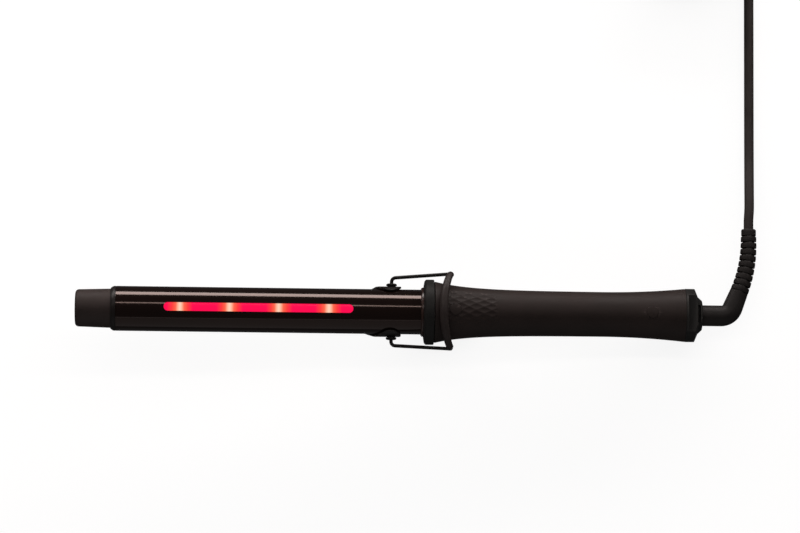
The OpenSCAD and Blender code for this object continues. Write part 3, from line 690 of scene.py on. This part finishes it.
def make_plug_body():
    """A flat-bladed plug's grip: its outline widens to the face, with finger hollows on its sides."""
    stations = [(16.15, 4.6, 4.2), (16.4, 5.2, 4.8), (18, 6.3, 5.8), (20.5, 7.6, 6.7), (24, 8.9, 6.95),
                (28, 9.4, 6.95), (32, 10.3, 6.95), (35.5, 11.6, 6.95), (38, 11.9, 6.95), (39.4, 11.9, 6.95),
                (39.85, 11.6, 6.65), (PLUG_FACE, 11.1, 6.15)]
    square = 0.55
    rings = []
    for x, wide, high in smooth_path(stations, 3):
        rings.append([(min(x, PLUG_FACE), wide * math.copysign(abs(c) ** square, c),
                       high * math.copysign(abs(s) ** square, s)) for c, s in disc(1, count=64)])
    points, faces = loft(rings)
    return piece("plug_grip", points, faces, PLUG, "swivel", "plug_rubber", ("plug_body",), PLUG_FRAME)


def make_plug_blades():
    """Two flat blades, each with a round hole near its tip."""
    root = PLUG_FACE + 0.04
    outline = fillet([(root, -BLADE_HALF, 0), (BLADE_TIP, -BLADE_HALF), (BLADE_TIP, BLADE_HALF),
                      (root, BLADE_HALF, 0)], 1.4, 5)
    hole = [(52.5 + a, -b) for a, b in disc(1.6)]
    solids = []
    for side in BLADE_Y:
        work = bmesh.new()
        outer = [work.verts.new((x, 0, z)) for x, z in outline]
        inner = [work.verts.new((x, 0, z)) for x, z in hole]
        loops = [[work.edges.new((ring[i], ring[(i + 1) % len(ring)])) for i in range(len(ring))]
                 for ring in (outer, inner)]
        flat = bmesh.ops.triangle_fill(work, edges=loops[0] + loops[1], use_beauty=True)
        made = [g for g in flat["geom"] if isinstance(g, bmesh.types.BMFace)]
        up = bmesh.ops.extrude_face_region(work, geom=made)
        for v in (g for g in up["geom"] if isinstance(g, bmesh.types.BMVert)):
            v.co.y += BLADE_THICK
        work.verts.index_update()
        solids.append(([(v.co.x, v.co.y + side - BLADE_THICK / 2, v.co.z) for v in work.verts],
                       [tuple(v.index for v in f.verts) for f in work.faces]))
        work.free()
    return piece("plug_pins", *joined(solids), BRASS, "swivel", "contact_brass", ("plug_blades",),
                 PLUG_FRAME)


lead = make_lead()
make_relief()
on_lead = [make_tie(), make_plug_relief(), make_plug_body(), make_plug_blades()]

# ---- Barrel ----

BARREL_R = 12.7
BORE_R = 11.7
BARREL_FRONT = -174
BARREL_BACK = 12
WINDOW_MID = -93.3
WINDOW_LEN = 107
WINDOW_W = 4.9
WINDOW_GAP = 0.1
LENS_R = 12.55
LENS_BACK_R = 10.6
STUD_HOLE_R = 2.05

tip = fillet([
    (-197, 0, 0), (-197, 10.5, 2.0), (-177.05, 11.1, 0.35), (-177.05, 11.45, 0), (-162, 11.45, 0.3),
    (-162, 9.9, 0), (-177, 9.9, 0.4), (-195.2, 8.7, 0.8), (-195.2, 0, 0)], 0, 8)
piece("cool_tip_cap", *lathe(tip), TIP, "iron", "tip_plastic", ("cool_tip",))

collar_outline = fillet([
    (-176.95, 11.5, 0), (-176.95, 11.65, 0.1), (-176.1, 12.3, 0.5), (-175.2, 12.68, 0.7),
    (-174.12, 12.68, 0.1), (-174.12, 11.5, 0)], 0, 5)
piece("tip_collar_ring", *lathe(collar_outline), TIP_COLLAR, "iron", "dark_plastic", ("tip_collar",))

tube_outline = fillet([(BARREL_FRONT, BORE_R, 0.1), (BARREL_FRONT, BARREL_R, 0.15),
                       (BARREL_BACK, BARREL_R, 0.2), (BARREL_BACK, BORE_R, 0.1)], 0, 3)
tube = piece("barrel_shell", *lathe(tube_outline, 192), BARREL, "iron", "barrel_coating", ("barrel_tube",))
carve(tube, [
    slot_prism(WINDOW_MID, WINDOW_LEN, WINDOW_W, 5, 15),
    cylinder((PIVOT_X, 0), STUD_HOLE_R, -20, 20, "y"),
])


def make_window():
    """The diffuser: a curved lens that fills the slot, a hair below the barrel's surface."""
    half_len, half_w = WINDOW_LEN / 2 - WINDOW_GAP, WINDOW_W / 2 - WINDOW_GAP
    across, along, end_steps = 20, 260, 24
    end = [-half_len + half_w * (1 - math.cos(math.pi / 2 * i / end_steps)) for i in range(end_steps + 1)]
    straight = np.linspace(-half_len + half_w, half_len - half_w, along)[1:-1]
    xs = [*end, *straight, *(-x for x in end[::-1])]
    rings = []
    for x in xs:
        over = max(0, abs(x) - (half_len - half_w))
        wide = max(0.02, math.sqrt(max(0, half_w ** 2 - over ** 2)))
        ring = []
        for k in range(across + 1):
            y = wide * (2 * k / across - 1)
            edge = min(wide * (1 - abs(2 * k / across - 1)), half_len - abs(x))
            r = LENS_R - 0.12 * max(0, 1 - edge / 0.3) ** 2
            ring.append((WINDOW_MID + x, y, math.sqrt(r * r - y * y)))
        for k in range(across + 1):
            y = wide * (1 - 2 * k / across)
            ring.append((WINDOW_MID + x, y, math.sqrt(LENS_BACK_R ** 2 - y * y)))
        rings.append(ring)
    points, faces = loft(rings)
    return piece("window_diffuser", points, faces, WINDOW, "iron", "red_window", ("light_window",),
                 sharp=50, baked=False)


make_window()

flange = fillet([(-1.5, 12.78, 0), (-1.5, 13.3, 0.2), (-0.9, 13.9, 0.3), (-0.04, 13.9, 0.1),
                 (-0.04, 12.78, 0)], 0)
piece("barrel_flange_ring", *lathe(flange), FLANGE, "iron", "flange_coating", ("barrel_flange",))

ring_outline = fillet([
    (0, 12.82, 0.2), (0, 15, 1.0), (0.45, 17.6, 0.5), (1.3, 18.5, 0.8), (5.6, 18.5, 0.35),
    (5.9, 18.15, 0.1), (5.9, 14.6, 0), (6.14, 14.6, 0), (6.14, 12.82, 0)], 0, 5)
piece("collar_band", *lathe(ring_outline, 192), COLLAR, "iron", "collar_plastic", ("collar_ring",))

# ---- Pivots ----


def cap_outline():
    """The side cap of a pivot, as (distance from the iron's axis, radius)."""
    return fillet([(14.47, 1.1, 0), (14.47, 2.35, 0.05), (14.7, 2.35, 0), (14.72, 3, 0.15),
                   (15.65, 3, 0.4), (15.98, 2.3, 0.3), (15.98, 1.1, 0.05)], 0)


def make_pivot_caps():
    points, faces = lathe(cap_outline(), 64)
    caps = joined(([(PIVOT_X + y, side * x, z) for x, y, z in points], faces) for side in (1, -1))
    return piece("pivot_side_caps", *caps, STEEL_BLACK, "iron", "black_steel", ("pivot_caps",))


make_pivot_caps()

# ---- Handle ----

HANDLE_FRONT = 6.2
HANDLE_BACK = 148.3
HANDLE_WALL = 3
BUTTON_X = (70, 84, 95)
COVER_X = (17.8, 129.1)
COVER_R = 3.4
BUTTON_HOLE_R = 3.75
BUTTON_R = 3.58
DISPLAY_X = (40.9, 57.1)
DISPLAY_HALF = 4.6
DISPLAY_GAP = 0.15


def handle_r(x):
    """Outside radius of the handle: a flare at the front, a waist and a gentler flare at the back."""
    r = 12.65 + 4.75 * math.exp(-(x - HANDLE_FRONT) / 19.5)
    return r + (2.4 * ((x - 100) / 48.3) ** 2.1 if x > 100 else 0)


HOLLOW_LEN = 8.7
HOLLOW_COUNT = 44
HOLLOW_FIRST = 25.3
HOLLOW_DEPTH = 0.34
HOLLOW_HALF = 0.85
BAND = (12.4, 41.8)
BAND_SPREAD = 46


def hollow_depth(x, angle):
    """Depth of the embossed grip pattern: rows of long lens-shaped hollows that interlock."""
    away = math.degrees(abs(angle - math.pi / 2))
    fade = min(1, (x - BAND[0]) / 1.2, (BAND[1] - x) / 1.2, (BAND_SPREAD - away) / 8)
    if fade <= 0:
        return 0.0
    row = (angle - math.pi / 2) / math.tau * HOLLOW_COUNT
    depth = 0.0
    for n in (math.floor(row), math.floor(row) + 1):
        along = ((x - HOLLOW_FIRST) / HOLLOW_LEN + n / 2 + 0.5) % 1 - 0.5
        half = HOLLOW_HALF * math.cos(math.pi * along)
        off = abs(row - n)
        if off < half:
            depth = max(depth, math.cos(math.pi * along) * (1 - (off / half) ** 2))
    return HOLLOW_DEPTH * fade * depth


def handle_half(side, name, node):
    """Half of the handle: its outer skin with the grip pattern, its inner wall and its rims."""
    xs = [HANDLE_FRONT, HANDLE_FRONT + 0.12, HANDLE_FRONT + 0.3, *np.arange(7.2, BAND[0], 1.0)]
    xs += list(np.arange(BAND[0], BAND[1] + 0.01, 0.3)) + list(np.arange(44, 146.2, 2.0))
    xs += [146.9, 147.2, 147.9, 148.15, HANDLE_BACK]
    ease = {0: 0.3, 1: 0.1, len(xs) - 1: 0.35, len(xs) - 2: 0.12}
    around = 170
    rings = []
    for i, x in enumerate(xs):
        outer, inner = [], []
        wall = handle_r(x) - HANDLE_WALL if x > 14 else 14.2
        for k in range(around + 1):
            angle = math.pi * k / around
            seam = 0.14 if k in (0, around) else 0
            r = handle_r(x) - hollow_depth(x, angle) - ease.get(i, 0) - seam
            outer.append((x, r * math.cos(angle), side * r * math.sin(angle)))
            inner.append((x, wall * math.cos(angle), side * wall * math.sin(angle)))
        rings.append(outer + inner[::-1])
    count = 2 * (around + 1)
    points, faces = loft(rings)
    faces = faces[:-2]
    for start in (0, (len(rings) - 1) * count):
        faces += [(start + k, start + k + 1, start + count - 2 - k, start + count - 1 - k)
                  for k in range(around)]
    return piece(name, points, faces, GRIP, "iron", "soft_touch", (node,), sharp=42)


upper = handle_half(1, "handle_shell_upper", "handle_upper")
carve(upper, [cylinder((x, 0), COVER_R + 0.16, 4.2, 20) for x in COVER_X], 42)
lower = handle_half(-1, "handle_shell_lower", "handle_lower")
carve(lower, [
    *(cylinder((x, 0), BUTTON_HOLE_R, -20, -5) for x in BUTTON_X),
    box((DISPLAY_X[0], -DISPLAY_HALF, -20), (DISPLAY_X[1], DISPLAY_HALF, -5)),
], 42)


def crowned_disc(middle, radius, top, bottom, side, edge):
    """A round plug whose outer face follows a surface: top(x, y) gives its height."""
    circle = disc(1, count=48)
    rings = [[(middle, 0, side * bottom)] * len(circle)]
    rings.append([(middle + radius * a, radius * b, side * bottom) for a, b in circle])
    shares = [(1, edge), (1 - 0.3 * edge / radius, 0.3 * edge), (1 - edge / radius, 0)]
    shares += [(s, 0) for s in (0.85, 0.7, 0.5, 0.3, 0.1, 0.0)]
    for share, drop in shares:
        ring = [(middle + radius * share * a, radius * share * b) for a, b in circle]
        rings.append([(x, y, side * (top(x, y) - drop)) for x, y in ring])
    return loft(rings)


def on_handle(x, y):
    """Height of the handle's outside above its axis."""
    return math.sqrt(max(0, handle_r(x) ** 2 - y ** 2))


def make_covers():
    def top(x, y):
        return on_handle(x, y) - 0.02

    covers = joined(crowned_disc(x, COVER_R, top, 8.6, 1, 0.2) for x in COVER_X)
    return piece("screw_cover_plugs", *covers, GRIP, "iron", "soft_touch", ("screw_covers",), sharp=50)


make_covers()


def make_button(name, x):
    """A round key with a shallow bowl, which stands a little out of the handle's underside."""
    def top(u, v):
        bowl = 0.25 * max(0, 1 - ((u - x) ** 2 + v ** 2) / 2.4 ** 2)
        return on_handle(u, v) + 0.45 - bowl
    points, faces = crowned_disc(x, BUTTON_R, top, 7.95, -1, 0.35)
    body = f"{name.split('_')[0]}_key"
    return piece(f"{name}_cap", points, faces, KEYS, body, "button_plastic", (name,), sharp=50)


for button, x in zip(("power_button", "minus_button", "plus_button"), BUTTON_X):
    make_button(button, x)


def make_display():
    """A dark glass pane flush with the underside of the handle."""
    middle = (DISPLAY_X[0] + DISPLAY_X[1]) / 2
    half_x, half_y = DISPLAY_X[1] - DISPLAY_GAP - middle, DISPLAY_HALF - DISPLAY_GAP
    outline = fillet([(-1, -1), (1, -1), (1, 1), (-1, 1)], 0.08, 4)
    sides = [(1, 2.4), (1, 0.3), (0.985, 0.12)]
    face = [(share, 0.05) for share in (0.95, 0.6, 0.25, 0.01)]
    rings = []
    for share, drop in sides + face:
        ring = [(middle + u * half_x * share, v * half_y * share) for u, v in outline]
        rings.append([(x, y, -(on_handle(x, y) - 0.12 - drop)) for x, y in ring])
    points, faces = loft(rings)
    return piece("display_pane", points, faces, GLASS_FACE, "iron", "display_face", ("display_window",),
                 sharp=50)


make_display()

cap_profile = fillet([
    (148.34, 15.1, 0.2), (153.7, 15.1, 0.35), (155.6, 10.6, 0.25), (158, 8.4, 0.3), (158, 5.98, 0.15),
    (150.2, 5.98, 0), (150.2, 9.3, 0), (146.5, 9.3, 0), (146.5, 11.5, 0), (148.34, 11.5, 0)], 0, 4)
end_cap = piece("end_cap_shell", *lathe(cap_profile, 192), COLLAR, "iron", "collar_plastic", ("end_cap",))
FLAT = ((149.6, -20, 10.95), (160, 20, 20))
NOTCH = ((155.1, -5, 6.8), (156.9, 5, 20))
cuts = []
for side in (1, -1):
    for low, high in (FLAT, NOTCH):
        z = sorted((side * low[2], side * high[2]))
        cuts.append(box((low[0], low[1], z[0]), (high[0], high[1], z[1])))
carve(end_cap, cuts, 25)

# ---- Clamp ----

SHEET = 1.2
BLADE_R = 13.1
BLADE_W = 9


def wrapped_sheet(outline, radius, thickness):
    """A flat outline of (x, distance round) bent round the iron's axis, below it, with eased edges."""
    strip, edge = 1.2, 0.3
    work = bmesh.new()
    flat = [work.verts.new((x, s, 0)) for x, s in outline]
    face = work.faces.new(flat)
    up = bmesh.ops.extrude_face_region(work, geom=[face])
    for v in (g for g in up["geom"] if isinstance(g, bmesh.types.BMVert)):
        v.co.z = thickness
    rim = [e for e in work.edges if abs(e.verts[0].co.z - e.verts[1].co.z) < 1e-6]
    bmesh.ops.bevel(work, geom=rim, offset=edge, segments=2, affect="EDGES", profile=0.5)
    reach = max(abs(s) for _, s in outline)
    for s in np.arange(-reach, reach, strip)[1:]:
        geom = [*work.verts, *work.edges, *work.faces]
        bmesh.ops.bisect_plane(work, geom=geom, dist=1e-5, plane_co=(0, s, 0), plane_no=(0, 1, 0))
    work.verts.index_update()
    points = []
    for v in work.verts:
        angle = v.co.y / (radius + thickness / 2)
        r = radius + v.co.z
        points.append((v.co.x, r * math.sin(angle), -r * math.cos(angle)))
    faces = [tuple(v.index for v in f.verts) for f in work.faces]
    work.free()
    return points, faces


def clamp_outline():
    """The blade and saddle unrolled: a round-tipped blade that rises into an ear at each pivot."""
    r = BLADE_R + 0.05 + SHEET / 2
    side = []
    for k in range(16):
        a = math.pi / 2 * k / 15
        side.append((-170 + BLADE_W * (1 - math.cos(a)), r * math.asin(BLADE_W * math.sin(a) / r)))
    side += [(x, r * math.asin(BLADE_W / r)) for x in (-150, -130, -110, -90, -70, -56, -47)]
    rise = smooth_path([(-42, -10.4), (-38.6, -10.15), (-34.7, -8.6), (-30, -5.1), (-26.8, -0.6),
                        (-24.6, 3.2)], 4)
    middle, ear_r = (-18.7, 1.6), 5.95
    turns = [math.radians(a) for a in range(153, -22, -7)]
    ear = [(middle[0] + ear_r * math.cos(a), middle[1] + ear_r * math.sin(a)) for a in turns]
    back = [(-13.6, -2.4), (-14.9, -4.8), (-17.2, -8), (-18.6, -10.3)]
    for x, z in [*rise, *ear, *back]:
        side.append((x, r * math.acos(-z / r)))
    return side + [(x, -s) for x, s in side[::-1] if s > 1e-6]


piece("clamp_blade_sheet", *wrapped_sheet(clamp_outline(), BLADE_R, SHEET), CLAMP, "clamp", "clamp_coating",
      ("clamp_blade",), sharp=30)

LEVER_HALF = 7.5
LEVER_R = 14.97


def make_lever():
    """The thumb lever: a tab riveted under the blade that drops and runs back as a flat strip."""
    path = [(-33, -LEVER_R), (-26, -LEVER_R), (-20.5, -LEVER_R), (-17.6, -15.3), (-14.6, -18.2),
            (-11.6, -22.2), (-8.8, -24.35), (-4, -24.8), (6, -24.8), (16, -24.8), (23.2, -24.8),
            (30.5, -24.8)]
    line = smooth_path([(x, 0, z) for x, z in path], 5)
    end_from = 23.0

    def section(i):
        x = line[i][0]
        half = LEVER_HALF
        if x > end_from:
            half = math.sqrt(max(0.4, LEVER_HALF ** 2 - (x - end_from) ** 2))
        crown = 1.0 if x < -20 else max(0, 1 - (x + 20) / 8)
        steps = 20
        bent = []
        for face in (1, -1):
            for k in range(steps + 1):
                y = face * half * (1 - 2 * k / steps)
                t = face * (SHEET / 2 - (0.22 if k in (0, steps) else 0))
                lift = LEVER_R - math.sqrt(LEVER_R ** 2 - y ** 2)
                bent.append((y * (1 - t / LEVER_R * crown), t + crown * lift))
        return bent

    points, faces = loft(sweep(line, section))
    return piece("thumb_lever_strip", points, faces, CLAMP, "clamp", "clamp_coating", ("thumb_lever",),
                 sharp=50)


make_lever()


def make_rivets():
    dome, sides = lathe([(15.6, 0), (15.6, 1.7), (15.9, 1.65), (16.1, 1.35), (16.24, 0.8), (16.28, 0)], 32)
    heads = joined(([(x + b, c, -a) for a, b, c in dome], sides) for x in (-29.5, -23))
    return piece("lever_rivet_heads", *heads, STEEL, "clamp", "bare_steel", ("lever_rivets",), sharp=50)


make_rivets()


def make_pad():
    """The rubber foot under the lever: level with the table below, with ribs across its sole."""
    top = -25.42
    low_x, high_x, half, corner = -8.95, 31.45, 8.95, 4
    rib_pitch, groove_deep = 4, 0.45
    slope = iron_x.z / iron_z.z
    table = -on_iron(0, 0, 0).z / iron_z.z / MM

    rings = []
    for x in np.linspace(low_x, high_x, 160):
        over = max(low_x + corner - x, x - (high_x - corner), 0)
        wide = half - corner + math.sqrt(corner ** 2 - min(over, corner - 0.03) ** 2)
        groove = 0
        if low_x + 3 < x < high_x - 3:
            groove = groove_deep * max(0, math.cos(math.tau * (x - low_x) / rib_pitch)) ** 8
        bottom = table - slope * x + 0.02 + groove
        above = wide - groove * 0.6
        rings.append([(x, y, z) for y, z in fillet([
            (-wide, bottom), (wide, bottom), (above, top), (-above, top)], 0.5, 3)])
    points, faces = loft(rings)
    return piece("lever_foot", points, faces, PAD, "clamp", "sleeve_rubber", ("lever_pad",), sharp=45)


make_pad()


def make_spring():
    """A coil of five turns between the lever and its seat."""
    middle, radius, wire_r, gap = -4.9, 2.6, 0.4, 0.55
    low, high = -24.2 + gap, -14.2 - gap
    turns, steps = 5, 28
    last = turns * steps
    line = [(middle + radius * math.cos(math.tau * i / steps), radius * math.sin(math.tau * i / steps),
             low + (high - low) * i / last) for i in range(last + 1)]
    points, faces = loft(sweep(line, lambda i: disc(wire_r, count=12)))
    return piece("return_spring", points, faces, STEEL, "iron", "bare_steel", ("clamp_spring",), sharp=50)


spring = make_spring()

# ---- Stand ----

WIRE_R = 1.0
STAND_HALF = 21.4
ARM = 35
ARCH_LEAN = math.radians(103)
ARCH_H = 14.2
CORNER = 9
MAIN_R = (STAND_HALF ** 2 - 2 * CORNER * STAND_HALF + ARCH_H ** 2) / (2 * (ARCH_H - CORNER))


def arch(steps=14):
    """One side of the crossbar in its own plane, from its foot to its top: (across, up)."""
    split = math.pi / 2 - math.atan2(STAND_HALF - CORNER, MAIN_R - ARCH_H)
    turns = [split * k / steps for k in range(steps + 1)]
    side = [(STAND_HALF - CORNER + CORNER * math.cos(a), CORNER * math.sin(a)) for a in turns]
    for k in range(1, steps + 1):
        a = split + (math.pi / 2 - split) * k / steps
        side.append((MAIN_R * math.cos(a), ARCH_H - MAIN_R + MAIN_R * math.sin(a)))
    return side


def in_arch(across, up):
    """A point of the crossbar's leaning plane, as a point of the stand's frame."""
    return (ARM + math.cos(ARCH_LEAN) * up, across, math.sin(ARCH_LEAN) * up)


def both_ways(side):
    """A line from its +Y end to the middle, carried on to the -Y end."""
    return [*side, *((x, -y, z) for x, y, z in side[::-1] if y > 1e-6)]


def make_stand():
    """A wire from pivot to pivot, and the soft sleeve on its crossbar."""
    out, elbow, arm_y = 16.3, 2.4, 19.4
    side = [(0, 12.95, 0), (0, 14.5, 0), (0, out, 0)]
    for k in range(1, 9):
        a = math.pi - math.pi / 2 * k / 8
        side.append((elbow + elbow * math.cos(a), arm_y - elbow + elbow * math.sin(a), 0))
    side += [(x, arm_y + (STAND_HALF - 0.15 - arm_y) * (x - elbow) / (ARM - 2.4 - elbow), 0)
             for x in np.linspace(5, ARM - 2.4, 10)]
    side += [(ARM - 1.4, STAND_HALF - 0.06, 0.25), (ARM - 0.75, STAND_HALF, 0.75)]
    side += [in_arch(a, u) for a, u in arch() if u > 1.6]
    line = both_ways(side)
    rings = sweep(line, lambda i: disc(0.95 if i < 2 or i > len(line) - 3 else WIRE_R), (1, 0, -1))
    points, faces = loft(rings)
    piece("stand_wire_frame", points, faces, STEEL_BLACK, "stand", "black_steel", ("stand_wire",),
          STAND, 50)

    line = both_ways([in_arch(a, u) for a, u in arch(26) if u > 3.0])
    last = len(line) - 1
    normal = (math.sin(ARCH_LEAN), 0, -math.cos(ARCH_LEAN))

    def section(i):
        wide = (4.8 - 0.8 * (line[i][1] / STAND_HALF) ** 2) / 2
        ease = {0: 0.62, 1: 0.86, 2: 0.97}.get(min(i, last - i), 1)
        return disc(1.8 * ease, wide * ease, 36)

    points, faces = loft(sweep(line, section, normal))
    return piece("stand_grip_sleeve", points, faces, SLEEVE, "stand", "sleeve_rubber", ("stand_sleeve",),
                 STAND, 50)


make_stand()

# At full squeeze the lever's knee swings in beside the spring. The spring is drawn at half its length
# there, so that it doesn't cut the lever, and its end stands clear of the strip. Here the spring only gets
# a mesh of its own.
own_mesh(spring)

# ---- Stage and lights ----

FLOOR_HALF = 4
FLOOR_DROP = 0.0002
floor_corners = [(x * FLOOR_HALF, y * FLOOR_HALF, 0) for x, y in ((-1, -1), (1, -1), (1, 1), (-1, 1))]
floor_mesh = bpy.data.meshes.new("floor")
floor_mesh.from_pydata(floor_corners, [], [(0, 1, 2, 3)])
floor = bpy.data.objects.new("floor", floor_mesh)
bpy.context.scene.collection.objects.link(floor)
floor.location.z = -FLOOR_DROP
floor_mesh.materials.append(material(
    "lit_paper", (0.19, 0.19, 0.19), (0.21, 0.21, 0.21), (0.8, 0.9), 2, (40, 0.02, 0.0001),
    Emission_Color=(1, 1, 1, 1), Emission_Strength=0.88, Specular_IOR_Level=0))
floor.visible_glossy = False
floor.visible_diffuse = False
floor.visible_shadow = False

world = bpy.data.worlds.new("studio")
bpy.context.scene.world = world
world.use_nodes = True
sky = world.node_tree.nodes["Background"]
sky.inputs["Color"].default_value = (0.9, 0.9, 0.92, 1)
sky.inputs["Strength"].default_value = 0.055

LIGHTS_MIDDLE = Vector((0.03, 0, on_iron(-90, 0, 0).z))


def strip_light(name, angle, distance, width, length, radiance, colour=(1, 1, 1), glossy=True):
    """A long soft light beside the iron, at an angle from straight up towards +Y."""
    lamp = bpy.data.lights.new(name, "AREA")
    lamp.shape = "RECTANGLE"
    lamp.size, lamp.size_y = length, width
    lamp.color = colour
    lamp.energy = radiance * math.pi * width * length
    made = bpy.data.objects.new(name, lamp)
    bpy.context.scene.collection.objects.link(made)
    turn = math.radians(angle)
    away = Vector((0, math.sin(turn), math.cos(turn)))
    made.location = LIGHTS_MIDDLE + away * distance
    across = Vector((1, 0, 0))
    rise = away.cross(across)
    made.rotation_euler = Matrix((across, rise, away)).transposed().to_euler()
    made.visible_glossy = glossy
    return made


strip_light("side_softbox", 79, 1.1, 0.36, 3.0, 8.2, (1, 0.93, 0.9))
strip_light("thin_strip", 23.3, 1.2, 0.085, 3.0, 5.4, (1, 0.9, 0.86))
strip_light("low_strip", -53, 1.2, 0.06, 3.0, 0.5)
strip_light("low_panel", -84, 1.1, 1.15, 3.0, 0.17)
strip_light("front_fill", -66, 1.5, 1.2, 2.6, 0.42, glossy=False)
strip_light("overhead_fill", 28, 1.6, 1.4, 2.4, 0.6, glossy=False)
